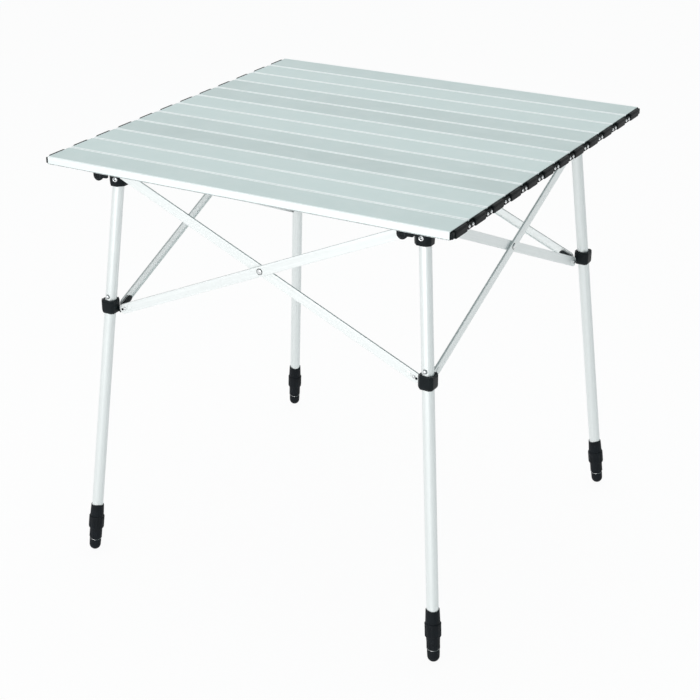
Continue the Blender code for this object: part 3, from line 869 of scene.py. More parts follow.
@dataclass
class RollTop:
    """The roll-up top: slat boards, their end caps, and the links and pins that join the caps."""

    finishes: Finishes
    gap: float = 0.0009
    edge_radius: float = 0.0014
    sheet: float = 0.0012
    lip: float = 0.005
    bead: float = 0.0004
    # Insets where the top's tint begins; the strip outside them is painted near white as a highlight.
    border: tuple[float, float] = (0.0034, 0.0037)
    crown_inset: float = 0.006
    crown_points: int = 9
    board_end: float = 0.3425
    drawn_in: float = 0.994
    end_length: float = 0.0004
    rib_station: float = 0.2
    paler: float = 0.30
    paler_turn: float = 2.4
    cap_out: float = 0.3474
    pin_offset: float = 0.0056
    link_level: float = 0.0050
    link_reach: float = 0.0100
    ear: float = 0.0115
    end_block: float = 0.0096
    seat_slats: tuple[int, int] = (2, 11)

    @property
    def half(self) -> float:
        """Return half of a board's width."""
        return (SIZES.pitch - self.gap) / 2

    def centre(self, index: float) -> float:
        """Return a slat's middle along Y, counted from 1 in front; half a slat more is the seam behind it."""
        return -SIZES.depth / 2 + (index - 0.5) * SIZES.pitch

    def end_pose(self, side: int, out: float, index: float, level: float, along: float = 0.0) -> Array:
        """Return a pose at a slat's end: local X along the table's edge, local Y up, local Z outwards."""
        axis = "+x" if side > 0 else "-x"
        return facing(axis, side * out, self.centre(index) + along, level) @ turned(side * QUARTER, "Z")

    def add(self, surface: Surface, index: int, part: str, coat: Coat, *nodes: str) -> None:
        """Make a slat's piece."""
        surface.build(f"slat_{index:02d}_{part}", f"slat_{index:02d}", coat, *nodes)

    def section(self) -> tuple[Array, Array]:
        """Work out the board's section about its middle, as a thin closed loop.

        The outside runs from one lip's tip down the side, round the top edge's quarter circle and across;
        the inside is the same way back, one sheet's thickness in. Both are written as the distance in from
        the board's edge and the level.

        Returns:
            The loop's (y, z) points, and the "band" mask: 1 on the tinted top, 0 on the sides and rounded
            edges, which are painted near white as a highlight, and -1 on the folded lip, which gets a painted
            shadow line.
        """
        low, high, radius = SIZES.under, SIZES.height, self.edge_radius
        turn = np.linspace(0.0, QUARTER, 7)
        arc_in = radius * (1.0 - np.cos(turn)) + self.bead * (1.0 - np.sin(turn))
        lip = (
            (self.lip, low), (0.0006, low), (0.0001, low + 0.0002), (0.0, low + 0.0013),
            (self.bead, low + 0.0018), (self.bead, high - radius - 0.001),
        )
        arc = np.stack((arc_in, high - radius * (1.0 - np.sin(turn))), axis=1)
        outside = np.concatenate((lip, arc, [(inset, high) for inset in self.border]))
        inside = np.array((
            (self.lip, low + 0.0011), (0.0016, low + 0.0011),
            (0.0016, high - 0.0026), (0.0026, high - self.sheet),
        ))
        flip, edge = np.array((-1.0, 1.0)), np.array((self.half, 0.0))
        reach = self.half - self.crown_inset
        count = self.crown_points
        crown = np.column_stack((np.linspace(reach, -reach, count), np.full(count, high)))
        loop = np.concatenate((
            outside * flip + edge, crown, outside[::-1] - edge, inside - edge, inside[::-1] * flip + edge,
        ))
        # -1 on the lip's first points: a painted shadow line along the boards' lower edge.
        mask = np.concatenate(([-1.0] * 4, np.zeros(len(outside) - 5), [1.0]))
        return loop, np.concatenate((mask, np.ones(count), mask[::-1], np.zeros(2 * len(inside))))

    def board(self, index: int) -> None:
        """Make one board: its section carried straight along X, the tips drawn in a little.

        Its tinted top is paler than the next one's by a share of |sin| of its number times a turn.

        Args:
            index: The slat, counted from 1 at the front.
        """
        loop, mask = self.section()
        end, soft = self.board_end, self.board_end - self.end_length
        stations = np.array((-end, -soft, -self.rib_station, 0.0, self.rib_station, soft, end))[:, None]
        width = np.where(np.abs(stations) == end, self.drawn_in, 1.0)
        across = loop[:, 0] * width + self.centre(index)
        grid = np.stack(np.broadcast_arrays(stations, across, loop[:, 1]), axis=2)
        tone = 1.0 - self.paler * abs(math.sin(index * self.paler_turn))
        surface = Surface().grid(grid, ends=True, mask=np.where(mask > 0, mask * tone, mask))
        self.add(surface, index, "board", self.finishes.slat, f"slat_{index:02d}")

    def seats(self, index: int) -> None:
        """Make the two moulded seats inside a board that a pair of hubs bears against.

        Args:
            index: The slat, counted from 1 at the front.
        """
        surface = Surface()
        half = SIZES.pitch / 2 - 0.0034
        block = plate(-0.0165, 0.0165, -half, half, 0.002)
        pad = plate(-0.0135, 0.0135, -half + 0.003, half - 0.003, 0.001)
        for side in (-1, 1):
            pose = moved(side * SIZES.half(SIZES.hub_level), self.centre(index), SIZES.under)
            surface.slab(block, 0.0001, 0.0100, 0.0006, 2, pose)
            surface.slab(pad, 0.0100, 0.0104, 0.0001, 1, pose)
        self.add(surface, index, "seats", self.finishes.plastic)

    def caps(self, index: int) -> None:
        """Make a slat's two end caps: a flange that covers the end, a raised bar and two thin ears.

        Args:
            index: The slat, counted from 1 at the front.
        """
        surface = Surface()
        half = self.half
        linked = (index > 1, index < SIZES.slats)
        low, high = -SIZES.slat_thickness / 2, SIZES.slat_thickness / 2 - 0.0003
        flange = plate(-half + 0.0005, half - 0.0005, low + 0.0002, high, 0.0018, 0.0018, 0.0034, 0.0034)
        block = plate(-0.0036, 0.0036, low + 0.0012, high - 0.0016, 0.0009)
        plug = plate(-half + 0.0034, half - 0.0034, low + 0.0016, high - 0.0016, 0.001)
        for side in (-1, 1):
            pose = self.end_pose(side, self.board_end, index, (SIZES.under + SIZES.height) / 2)
            near, far = linked[::side]
            left = -half + (self.ear if near else self.end_block)
            right = half - (self.ear if far else self.end_block)
            bar = plate(left, right, low - 0.0004, high - 0.0002, 0.0024, 0.0024, 0.0018, 0.0018)
            rib = plate(left + 0.003, right - 0.003, 0.0010, 0.0028, 0.0008)
            surface.slab(flange, 0.00005, 0.0014, 0.0005, 3, pose)
            surface.slab(bar, 0.0010, 0.0054, 0.0010, 4, pose)
            surface.slab(rib, 0.0050, 0.0059, 0.0004, 2, pose)
            surface.slab(plug, -0.0080, 0.0003, 0.0004, 2, pose)
            for end, joined in ((-1, near), (1, far)):
                if not joined:
                    surface.slab(block, 0.0010, 0.0042, 0.0006, 3, pose @ moved(end * (half - 0.0048)))
        self.add(surface, index, "caps", self.finishes.cap)

    def pins(self, index: int) -> None:
        """Make the domed pin heads that a slat puts through the links beside it.

        Args:
            index: The slat, counted from 1 at the front.
        """
        surface = Surface()
        dome = (
            (0.0, 0.0011), (0.0010, 0.0010), (0.0017, 0.0007), (0.0022, 0.0001), (0.0023, -0.0004),
            (0.0023, -0.0020), (0.0, -0.0020),
        )
        along = SIZES.pitch / 2 - self.pin_offset
        level = SIZES.under + self.link_level
        for side in (-1, 1):
            for toward, linked in ((-1, index > 1), (1, index < SIZES.slats)):
                if linked:
                    pose = self.end_pose(side, self.cap_out, index, level, toward * along)
                    surface.spin(dome, pose, 20)
        self.add(surface, index, "pins", self.finishes.rivet)

    def links(self, index: int) -> None:
        """Make the two links over the seam behind a slat: short bars with round ends.

        Args:
            index: The slat, counted from 1 at the front.
        """
        surface = Surface()
        bar = plate(-self.link_reach, self.link_reach, -0.0046, 0.0040, 0.0038, 0.0038, 0.0030, 0.0030)
        waist = plate(-0.0022, 0.0022, -0.0034, 0.0030, 0.0008)
        for side in (-1, 1):
            pose = self.end_pose(side, self.board_end, index + 0.5, SIZES.under + self.link_level)
            surface.slab(bar, 0.0017, 0.0045, 0.0007, 3, pose)
            surface.slab(waist, 0.0043, 0.0050, 0.0003, 2, pose)
        surface.build(f"seam_{index:02d}_links", f"slat_{index:02d}", self.finishes.cap)

    def build(self) -> None:
        """Make the whole top."""
        for index in range(1, SIZES.slats + 1):
            self.board(index)
            self.caps(index)
            self.pins(index)
        for index in range(1, SIZES.slats):
            self.links(index)
        for index in self.seat_slats:
            self.seats(index)


@dataclass
class Pivots:
    """Where one corner piece holds its two brace ends, about the leg's axis, at local +X and -Y faces."""

    inset: float
    front_lug: tuple[float, float]
    side_lug: tuple[float, float]
    front_head: float
    side_head: float
    reach: float
    lug_half: float = 0.008
    dip: float = 0.0
    head_radius: float = 0.0045
    head_rise: float = 0.0013

    def lugs(self, surface: Surface, pose: Array) -> None:
        """Add the two lugs, each a tongue behind its brace.

        Args:
            surface: The surface that they are added to.
            pose: The pose at the leg's axis, local -Y and +X looking outwards.
        """
        front = facing("-y", -self.inset) @ turned(-self.dip, "Z")
        side = facing("+x", 0.0, self.inset) @ turned(self.dip - QUARTER, "Z")
        lug = tongue(self.reach, self.lug_half)
        surface.slab(lug, *self.front_lug, 0.0005, 2, pose @ front)
        surface.slab(lug, *self.side_lug, 0.0005, 2, pose @ side)

    def heads(self, surface: Surface, pose: Array) -> None:
        """Add the two pivot heads outside the braces.

        Args:
            surface: The surface that they are added to.
            pose: The pose at the leg's axis, local -Y and +X looking outwards.
        """
        head = rivet_head(self.head_radius, self.head_rise)
        surface.spin(head, pose @ facing("-y", -self.inset, -self.front_head), 32)
        surface.spin(head, pose @ facing("+x", self.side_head, self.inset), 32)


@dataclass
class CornerPart:
    """A sub-assembly at one corner of the frame."""

    corner: Corner
    finishes: Finishes

    def add(
        self, surface: Surface, node: str, part: str, coat: Coat, body: str = "", shown: bool = True
    ) -> None:
        """Make a piece that belongs to one of the corner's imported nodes.

        Args:
            surface: The piece's surface.
            node: The node's name without the corner.
            part: The piece's own name.
            coat: Its finish.
            body: The body that it rides on, where that isn't the node's own.
            shown: Whether the piece stands for the node.
        """
        tag = self.corner.tag
        nodes = (f"{node}_{tag}",) if shown else ()
        surface.build(f"{node}_{tag}_{part}", f"{body or node}_{tag}", coat, *nodes)


@dataclass
class Hub(CornerPart):
    """A hub under a corner of the top: faceted block, leg socket, brace lugs, lever fork and rivet."""

    half: float = 0.0134
    edge_radius: float = 0.0012
    top: float = 0.0212
    bottom: float = -0.0212
    outward: float = 0.0007
    facet: float = 0.0062
    wide_facet: float = 0.0092
    bore: float = 0.01085
    lever_pivot: float = -0.018

    def block(self, surface: Surface) -> None:
        """Add the block: an eight-sided outline, tapered and rounded below, with the leg's socket.

        The rows run down the socket's wall, across the rim, up the outside and over the top edge. The
        socket's rows are circles at the outline's own angles, whose middle follows the leg outwards.

        Args:
            surface: The surface that it is added to.
        """
        outline = octagon(self.half, self.facet, self.wide_facet, self.edge_radius, 3)
        shape = outline.at()
        angle = np.arctan2(shape[:, 1], shape[:, 0])
        low, high = self.bottom, self.top
        rows = [bore_row(angle, self.bore, level) for level in (0.0070, 0.0, -0.0120, low + 0.0004)]
        rows.append(bore_row(angle, self.bore + 0.0004, low))
        outside = (
            (low, 0.0009), (low + 0.0002, 0.0006), (low + 0.0010, 0.0003), (low + 0.0060, 0.0),
            (high - 0.0008, 0.0), (high - 0.0002, 0.0003), (high, 0.0008),
        )
        shift = np.array((self.outward, -self.outward))
        for level, inset in outside:
            rows.append(np.column_stack((outline.at(inset) + shift, np.full(len(shape), level))))
        surface.grid(np.stack(rows), corner_pose(self.corner, SIZES.hub_level), ends=True)

    def fork(self, surface: Surface) -> None:
        """Add the two cheeks that hold the catch lever's knuckle.

        Args:
            surface: The surface that they are added to.
        """
        pose = upright(self.corner, SIZES.hub_level) @ facing("-y")
        cheek = plate(-0.0219, -0.0120, -0.0054, 0.0054, 0.0040, 0.0006, 0.0006, 0.0040)
        for low in (0.0054, -0.0070):
            surface.slab(cheek, low, low + 0.0016, 0.0004, 2, pose)

    def build(self) -> None:
        """Make the hub's moulded body and its metal heads."""
        layer, half_space = SIZES.layer_out, SIZES.brace_space / 2
        inner = layer - half_space - SIZES.brace_depth - SIZES.clearance
        pivots = Pivots(
            SIZES.pivot_inset,
            (self.half - 0.0060, self.half),
            (inner - 0.0038, inner),
            layer + half_space + SIZES.brace_depth + SIZES.clearance,
            layer - half_space + SIZES.clearance,
            SIZES.pivot_inset - 0.004,
        )
        pose = corner_pose(self.corner, SIZES.hub_level)
        body, metal = Surface(), Surface()
        self.block(body)
        self.fork(body)
        pivots.lugs(body, pose)
        self.add(body, "hub", "body", self.finishes.plastic)
        pivots.heads(metal, pose)
        centre = upright(self.corner, SIZES.hub_level)
        eyelet = (
            (0.0020, -0.0006), (0.0020, 0.0007), (0.0023, 0.0012), (0.0029, 0.0014), (0.0036, 0.0011),
            (0.0041, 0.0005), (0.0042, 0.0), (0.0042, -0.0006),
        )
        face = self.corner.side_y * (self.half + self.outward)
        front = centre @ facing(self.corner.outwards, 0.0012, face, -0.0092)
        metal.spin(eyelet, front, 40)
        metal.spin(rivet_head(0.0011, 0.0004), front, 20)
        pin = ((0.0, 0.0005), (0.0012, 0.0004), (0.0015, 0.0), (0.0015, -0.0003), (0.0, -0.0003))
        for axis, out in (("-y", -0.0070), ("+y", 0.0070)):
            metal.spin(pin, centre @ facing(axis, self.lever_pivot, out), 20)
        self.add(metal, "hub", "heads", self.finishes.rivet, shown=False)


@dataclass
class CatchLever(CornerPart):
    """A catch lever on the left of a hub: knuckle, waisted neck and a broad round end."""

    pivot: float = -0.018
    plate_from: float = 0.0197
    plate_depth: float = 0.0050
    lobe_middle: tuple[float, float] = (-0.0241, -0.0040)

    def outer_plate(self, surface: Surface, pose: Array) -> None:
        """Add the plate outside the brace: a round lobe with a dished face, and a neck to the pivot.

        Args:
            surface: The lever's surface.
            pose: The lever's pose at its hub.
        """
        if self.corner.side_y > 0:
            pose = pose @ np.diag((1.0, 1.0, -1.0, 1.0))
        low, high = self.plate_from, self.plate_from + self.plate_depth
        lobe = plate(-0.0325, -0.0157, -0.0122, 0.0052, 0.0083, 0.0083, 0.0030, 0.0030)
        surface.slab(lobe, low, high, 0.0009, 4, pose)
        ring = (
            (0.0038, 0.0), (0.0039, 0.0005), (0.0044, 0.0008), (0.0054, 0.0008), (0.0059, 0.0005),
            (0.0060, 0.0),
        )
        face = pose @ moved(*self.lobe_middle, high - 0.0001)
        surface.spin(ring, face, 40)
        surface.spin(rivet_head(0.0018, 0.0006), face, 24)
        corners = (
            (-0.0225, -0.0098), (-0.0175, -0.0070), (-0.0060, -0.0062), (-0.0060, 0.0052), (-0.0225, 0.0052),
        )
        neck = Outline(corners, (0.0004, 0.0030, 0.0020, 0.0030, 0.0004), 5)
        surface.slab(neck, low + 0.0006, high - 0.0006, 0.0007, 3, pose)

    def build(self) -> None:
        """Make the lever from rounded plates: end, raised rims, neck and knuckle."""
        pose = upright(self.corner, SIZES.hub_level) @ facing("-y")
        surface = Surface()
        end = plate(-0.0475, -0.0285, -0.0155, 0.0035, 0.0094, 0.0094, 0.0050, 0.0030)
        rim = plate(-0.0455, -0.0305, -0.0135, 0.0015, 0.0074, 0.0074, 0.0036, 0.0022)
        waist = ((-0.036, -0.0105), (-0.018, -0.0034), (-0.018, 0.0030), (-0.036, -0.0010))
        neck = Outline(waist, (0.0004,) * 4, 2)
        surface.slab(end, -0.0042, 0.0042, 0.0010, 4, pose)
        surface.slab(rim, 0.0040, 0.0050, 0.0004, 3, pose)
        surface.slab(rim, -0.0050, -0.0040, 0.0004, 3, pose)
        surface.slab(neck, -0.0040, 0.0040, 0.0008, 3, pose)
        rise = ((0.0, 0.0049), (0.0036, 0.0049), (0.0041, 0.0044))
        knuckle = rise + tuple((radius, -level) for radius, level in rise[::-1])
        surface.spin(knuckle, pose @ moved(self.pivot), 32)
        self.outer_plate(surface, pose)
        self.add(surface, "lever", "body", self.finishes.plastic)


@dataclass
class Leg(CornerPart):
    """A leg: drawn tube with its button's well, hinge eye, snap button, foot sleeve and screw foot."""

    button_level: float = 0.462
    low: float = 0.0336
    top_inset: float = 0.0118
    end_taper: float = 0.0004
    well_radius: float = 0.00355
    well_edge: float = 0.0003
    well_depth: float = 0.0082
    button_out: float = 0.0026
    sleeve_ribs: int = 10
    rib_radius: float = 0.0097
    pad_radius: float = 0.0096
    pad_height: float = 0.0097
    knurl_depth: float = 0.00035
    stud_radius: float = 0.0031
    thread_depth: float = 0.0004

    def tube(self) -> None:
        """Make the tube: a circle carried up the leg, pressed in round the button.

        A point within the well's radius of the button's axis moves inwards along that axis by the well's
        depth, times a smooth step of its distance from the axis. Rows and columns crowd round the well.
        """
        pose = leg_pose(self.corner)
        well = (np.linalg.inv(pose) @ upright(self.corner, self.button_level)[:, 3])[:3]
        front = pose[:3, :3].T @ np.array((0.0, float(self.corner.side_y), 0.0))
        aim = math.atan2(front[1], front[0])
        high = SIZES.leg_length - self.top_inset
        taper = np.array((0.0, self.end_taper))
        levels = np.concatenate((
            self.low + taper, np.linspace(0.06, well[2] - 0.01, 14),
            well[2] + np.linspace(-0.005, 0.005, 33),
            np.linspace(well[2] + 0.01, high - 0.01, 10), high - taper[::-1],
        ))[:, None]
        turn = aim + np.concatenate((np.linspace(-0.55, 0.55, 33), np.linspace(0.62, FULL_TURN - 0.62, 56)))
        radius = np.full(levels.shape, SIZES.tube_radius)
        radius[[0, -1]] -= self.end_taper
        grid = np.stack(np.broadcast_arrays(radius * np.cos(turn), radius * np.sin(turn), levels), axis=2)
        away = grid - well
        along = away @ front
        across = np.linalg.norm(away - along[:, :, None] * front, axis=2)
        step = np.clip((self.well_radius - across) / self.well_edge, 0.0, 1.0)
        step = step * step * (3.0 - 2.0 * step) * (along > 0.0)
        surface = Surface().grid(grid - step[:, :, None] * front * self.well_depth, pose, ends=True)
        eye = plate(-0.0060, 0.0060, -0.0125, 0.0060, 0.0005, 0.0005, 0.00599, 0.00599)
        at = moved(z=SIZES.leg_length) @ turned(QUARTER, "Y") @ turned(QUARTER, "Z")
        surface.slab(eye, -0.004, 0.004, 0.0004, 2, pose @ at)
        self.add(surface, "leg", "tube", self.finishes.tube)

    def button(self) -> None:
        """Make the snap button: a short shank and a domed end with a fine rim."""
        drops = (
            (0.0, 0.0), (0.0008, 0.00004), (0.0016, 0.00020), (0.0023, 0.00055), (0.0027, 0.0011),
            (0.00285, 0.0018), (0.0029, 0.0030), (0.0029, 0.0068), (0.0, 0.0068),
        )
        tip = SIZES.tube_radius + self.button_out
        pose = upright(self.corner, self.button_level) @ facing(self.corner.outwards)
        surface = Surface().spin([(radius, tip - drop) for radius, drop in drops], pose, 36)
        self.add(surface, "button", "pin", self.finishes.rivet)

    def sleeve(self) -> None:
        """Make the foot sleeve: scooped mouth, a broad ribbed band and a lower body with upright ribs."""
        bore = SIZES.tube_radius + SIZES.clearance
        profile = (
            (0.0040, 0.0335), (0.0040, 0.0215), (0.0088, 0.0215), (0.0094, 0.0219), (0.0098, 0.0227),
            (0.0099, 0.0240), (0.0101, 0.0280), (0.0104, 0.0340), (0.0107, 0.0400), (0.0109, 0.0425),
            (0.0117, 0.0429), (0.0125, 0.0434), (0.0129, 0.0442), (0.0130, 0.0460), (0.0130, 0.0620),
            (0.0129, 0.0638), (0.0125, 0.0647), (0.0118, 0.0651), (0.0113, 0.0653), (0.0113, 0.0662),
            (0.0114, 0.0680), (0.0112, 0.0740), (0.0110, 0.0800), (0.0108, 0.0850), (0.0107, 0.0872),
            (0.0104, 0.0880), (0.0100, 0.0883), (bore, 0.0880), (bore, 0.0840), (bore, 0.0335),
        )
        pose = leg_pose(self.corner)
        ribbed, scoop = (0.0438, 0.0636), (0.0810, 0.0020)
        cup = Surface().spin(profile, pose, 120, self.sleeve_ribs, 0.0009, ribbed, scoop)
        ribs = Surface()
        rib = plate(0.0226, 0.0424, -0.0011, 0.0011, 0.0006)
        upwards = moved(self.rib_radius) @ turned(-QUARTER, "Y") @ turned(math.pi, "X")
        for turn in np.arange(self.sleeve_ribs) * (FULL_TURN / self.sleeve_ribs):
            ribs.slab(rib, -0.0004, 0.0009, 0.0004, 2, pose @ turned(float(turn), "Z") @ upwards)
        self.add(cup, "foot_sleeve", "cup", self.finishes.rubber, "leg")
        self.add(ribs, "foot_sleeve", "ribs", self.finishes.rubber, "leg", False)

    def screw_foot(self) -> None:
        """Make the screw foot: a knurled pad cut level with the floor and a threaded stud.

        The pad's lowest rows are pressed up onto the floor: a point below it takes the level 0. The stud's
        thread is a ring of small ridges, its radius larger by the thread's depth at each crest.
        """
        pose = leg_pose(self.corner)
        around = np.linspace(0.0, QUARTER, 12)
        end = np.stack((self.pad_radius * np.sin(around), self.pad_height * (1 - np.cos(around))), axis=1)
        pad = (
            (0.0097, 0.0120), (0.0098, 0.0150), (0.0098, 0.0194), (0.0094, 0.0202), (0.0088, 0.0206),
            (0.0035, 0.0206),
        )
        crest = np.arange(0.0212, 0.0440, 0.0006)
        ridge = self.thread_depth * (np.arange(len(crest)) % 2)
        thread = np.stack((self.stud_radius + ridge, crest), axis=1)
        radius, level = np.concatenate((end, pad, thread, ((0.0030, 0.0446), (0.0, 0.0446)))).T[:, :, None]
        turn = np.linspace(0.0, FULL_TURN, 96, endpoint=False)
        knurled = (level > 0.011) & (level < 0.0190)
        reach = radius - knurled * self.knurl_depth * np.abs(np.sin(12 * turn))
        grid = np.stack(np.broadcast_arrays(reach * np.cos(turn), reach * np.sin(turn), level), axis=2)
        grid = grid @ pose[:3, :3].T + pose[:3, 3]
        grid[:, :, 2] = np.maximum(grid[:, :, 2], 0.0)
        self.add(Surface().grid(grid), "screw_foot", "pad", self.finishes.rubber)
        ring = ((0.0038, 0.0207), (0.0090, 0.0207), (0.0091, 0.0209), (0.0090, 0.0211), (0.0038, 0.0211))
        self.add(Surface().spin(ring, pose, 48), "screw_foot", "washer", self.finishes.rivet, shown=False)

    def build(self) -> None:
        """Make the leg's pieces."""
        self.tube()
        self.button()
        self.sleeve()
        self.screw_foot()


@dataclass
class Collar(CornerPart):
    """A collar that slides on a leg: faceted sleeve with a scooped rim and two brace lugs."""

    half: float = 0.0124
    edge_radius: float = 0.0015
    facet: float = 0.0046
    below: float = -0.0135
    above: float = 0.0068
    rise: float = 0.0055
    bore: float = 0.0100
    dip: float = math.radians(23.655)

    def sleeve(self, surface: Surface) -> None:
        """Add the sleeve as a closed ring of rows: up the outside, over the rim and down the bore.

        The rim's level is highest at the corners and lowest in the middle of each face: it drops by the
        rise times |cos 2t| to the power 0.7, t being the angle about the leg.

        Args:
            surface: The surface that it is added to.
        """
        outline = octagon(self.half, self.facet, self.facet, self.edge_radius, 4)
        shape = outline.at()
        angle = np.arctan2(shape[:, 1], shape[:, 0])
        rim = self.rise * (1.0 - np.abs(np.cos(2 * angle)) ** 0.7)
        low, high = self.below, self.above
        outside = (
            (low, 0.0022, 0.0), (low + 0.0004, 0.0016, 0.0),
            (low + 0.0030, 0.0003, 0.0), (low + 0.0050, 0.0, 0.0),
            (high - 0.0032, 0.0, 1.0), (high - 0.0026, 0.0005, 1.0), (high - 0.0020, 0.0003, 1.0),
            (high - 0.0006, 0.0004, 1.0), (high, 0.0009, 1.0),
        )
        inside = (
            (high, 0.0007, 1.0), (high - 0.0007, 0.0, 1.0), (low + 0.0006, 0.0, 0.0), (low, 0.0006, 0.0),
        )
        rows = [np.column_stack((outline.at(inset), level + lift * rim)) for level, inset, lift in outside]
        rows += [bore_row(angle, self.bore + extra, level, lift * rim) for level, extra, lift in inside]
        surface.grid(np.stack(rows), corner_pose(self.corner, SIZES.collar_level), closed=(True, True))

    def build(self) -> None:
        """Make the collar's moulded body and its metal heads."""
        drift = SIZES.half(SIZES.collar_level) - SIZES.half(SIZES.hub_level)
        layer, half_space = SIZES.layer_out - drift, SIZES.brace_space / 2
        inner = layer - half_space - SIZES.brace_depth - SIZES.clearance
        outer = layer + half_space - SIZES.clearance
        inset = SIZES.pivot_inset + drift
        pivots = Pivots(
            inset,
            (inner - 0.0038, inner),
            (outer - 0.0038, outer),
            layer - half_space + SIZES.clearance,
            layer + half_space + SIZES.brace_depth + SIZES.clearance,
            (inset - self.half + 0.0015) / math.cos(self.dip),
            lug_half=0.0044,
            dip=self.dip,
            head_rise=0.0007,
        )
        pose = corner_pose(self.corner, SIZES.collar_level)
        body, metal = Surface(), Surface()
        self.sleeve(body)
        pivots.lugs(body, pose)
        self.add(body, "collar", "body", self.finishes.plastic)
        pivots.heads(metal, pose)
        self.add(metal, "collar", "heads", self.finishes.brace, shown=False)


@dataclass
class CrossedBraces:
    """One side's two crossed braces and the rivet that joins them."""

    side: Side
    finishes: Finishes
    web: float = 0.0012
    tail: float = 0.0125
    eyelet_back: float = 0.0030
    knob_ahead: float = 0.0022
    washer_rise: float = 0.0005
    rivet_gap: float = 0.0002
    rivet_lift: float = 0.0003

    def brace(self, letter: str, rising: bool) -> None:
        """Make one brace: a flat channel with round ends, open inwards.

        The rows run from the channel's floor up its inner wall, over the rim, down the outside and round
        the outer edge's quarter circle to the flat face. The folded edge has a painted shadow line, a darker
        band.

        Args:
            letter: Which of the two braces it is, a or b.
            rising: Whether its hub end is the one at local +X.
        """
        sign = 1.0 if rising else -1.0
        start = np.array((sign * SIZES.spread, SIZES.hub_level))
        run = np.array((-sign * SIZES.spread, SIZES.collar_level)) - start
        length = float(np.linalg.norm(run)) + self.tail
        half = SIZES.brace_width / 2
        end = half - 0.00001
        corners = ((-half, -half), (length + half, -half), (length + half, half), (-half, half))
        low = SIZES.brace_space / 2 if rising else -SIZES.brace_space / 2 - SIZES.brace_depth
        high = low + SIZES.brace_depth
        floor = high - self.web
        rows = [
            (floor, 0.0042), (floor, 0.0028), (floor, 0.0016), (floor - 0.0003, 0.0013),
            (low + 0.0003, 0.0013), (low, 0.0010), (low, 0.0003), (low + 0.0003, 0.0),
        ]
        rows += soft_rows(low, high, 0.0007, 4)[5:] + [(high, 0.0020), (high, 0.0034)]
        # These rows along the folded edge blend towards the dark edge colour: a painted shadow line.
        band = [0.0] * 6 + [-0.2, -0.8, -0.8] + [0.0] * (len(rows) - 9)
        pose = side_pose(self.side) @ moved(*start) @ turned(math.atan2(run[1], run[0]), "Z")
        name = f"brace_{self.side.tag}_{letter}"
        channel = Surface().loft(Outline(corners, (end,) * 4, 10), rows, pose, band)
        channel.build(f"{name}_channel", name, self.finishes.brace, name)
        eyelet = pose @ moved(length - self.eyelet_back, 0.0, high)
        washer = ((0.0, 0.0005), (0.0029, 0.0005), (0.0032, 0.0002), (0.0032, 0.0), (0.0, 0.0))
        steel = Surface().spin(washer, eyelet, 32)
        steel.spin(rivet_head(0.0019, 0.0008), eyelet @ moved(z=self.washer_rise), 24)
        steel.build(f"{name}_eyelet", name, self.finishes.rivet)
        tip = pose @ moved(length + self.knob_ahead, 0.0, high)
        knob = Surface().spin(rivet_head(0.0020, 0.0011), tip, 24)
        knob.build(f"{name}_knob", name, self.finishes.plastic)

    def rivet(self) -> None:
        """Make the crossing's rivet heads, one on each side, each over a dark washer that also stands in for
        the shadow round the head as painted shade.
        """
        reach = SIZES.brace_space / 2 + SIZES.brace_depth + self.rivet_gap
        head = (
            (0.0, 0.0015), (0.0010, 0.00147), (0.0022, 0.00130), (0.0034, 0.0009),
            (0.0041, 0.0004), (0.0043, 0.0), (0.0, 0.0),
        )
        # Dark washer: a real part, made dark enough to paint the shadow ring round the rivet head.
        washer = ((0.0, 0.0004), (0.0047, 0.0004), (0.0051, 0.0002), (0.0051, 0.0), (0.0, 0.0))
        heads, shade_rings = Surface(), Surface()
        crossing = side_pose(self.side) @ moved(0.0, (SIZES.hub_level + SIZES.collar_level) / 2)
        for back in (0.0, math.pi):
            pose = crossing @ turned(back, "Y") @ moved(z=reach)
            heads.spin(head, pose @ moved(z=self.rivet_lift), 36)
            shade_rings.spin(washer, pose, 36)
        name, body = f"rivet_{self.side.tag}", f"brace_{self.side.tag}_a"
        heads.build(f"{name}_heads", body, self.finishes.rivet, name)
        shade_rings.build(f"{name}_washers", body, self.finishes.plastic)

    def build(self) -> None:
        """Make both braces and the rivet; the rising brace lies outside."""
        a_rises = self.side in (Side.FRONT, Side.LEFT)
        self.brace("a", a_rises)
        self.brace("b", not a_rises)
        self.rivet()


@dataclass(frozen=True)
class Lamp:
    """A soft square lamp: its place, the length of its sides in metres and its power in watts."""

    name: str
    place: tuple[float, float, float]
    size: float
    power: float


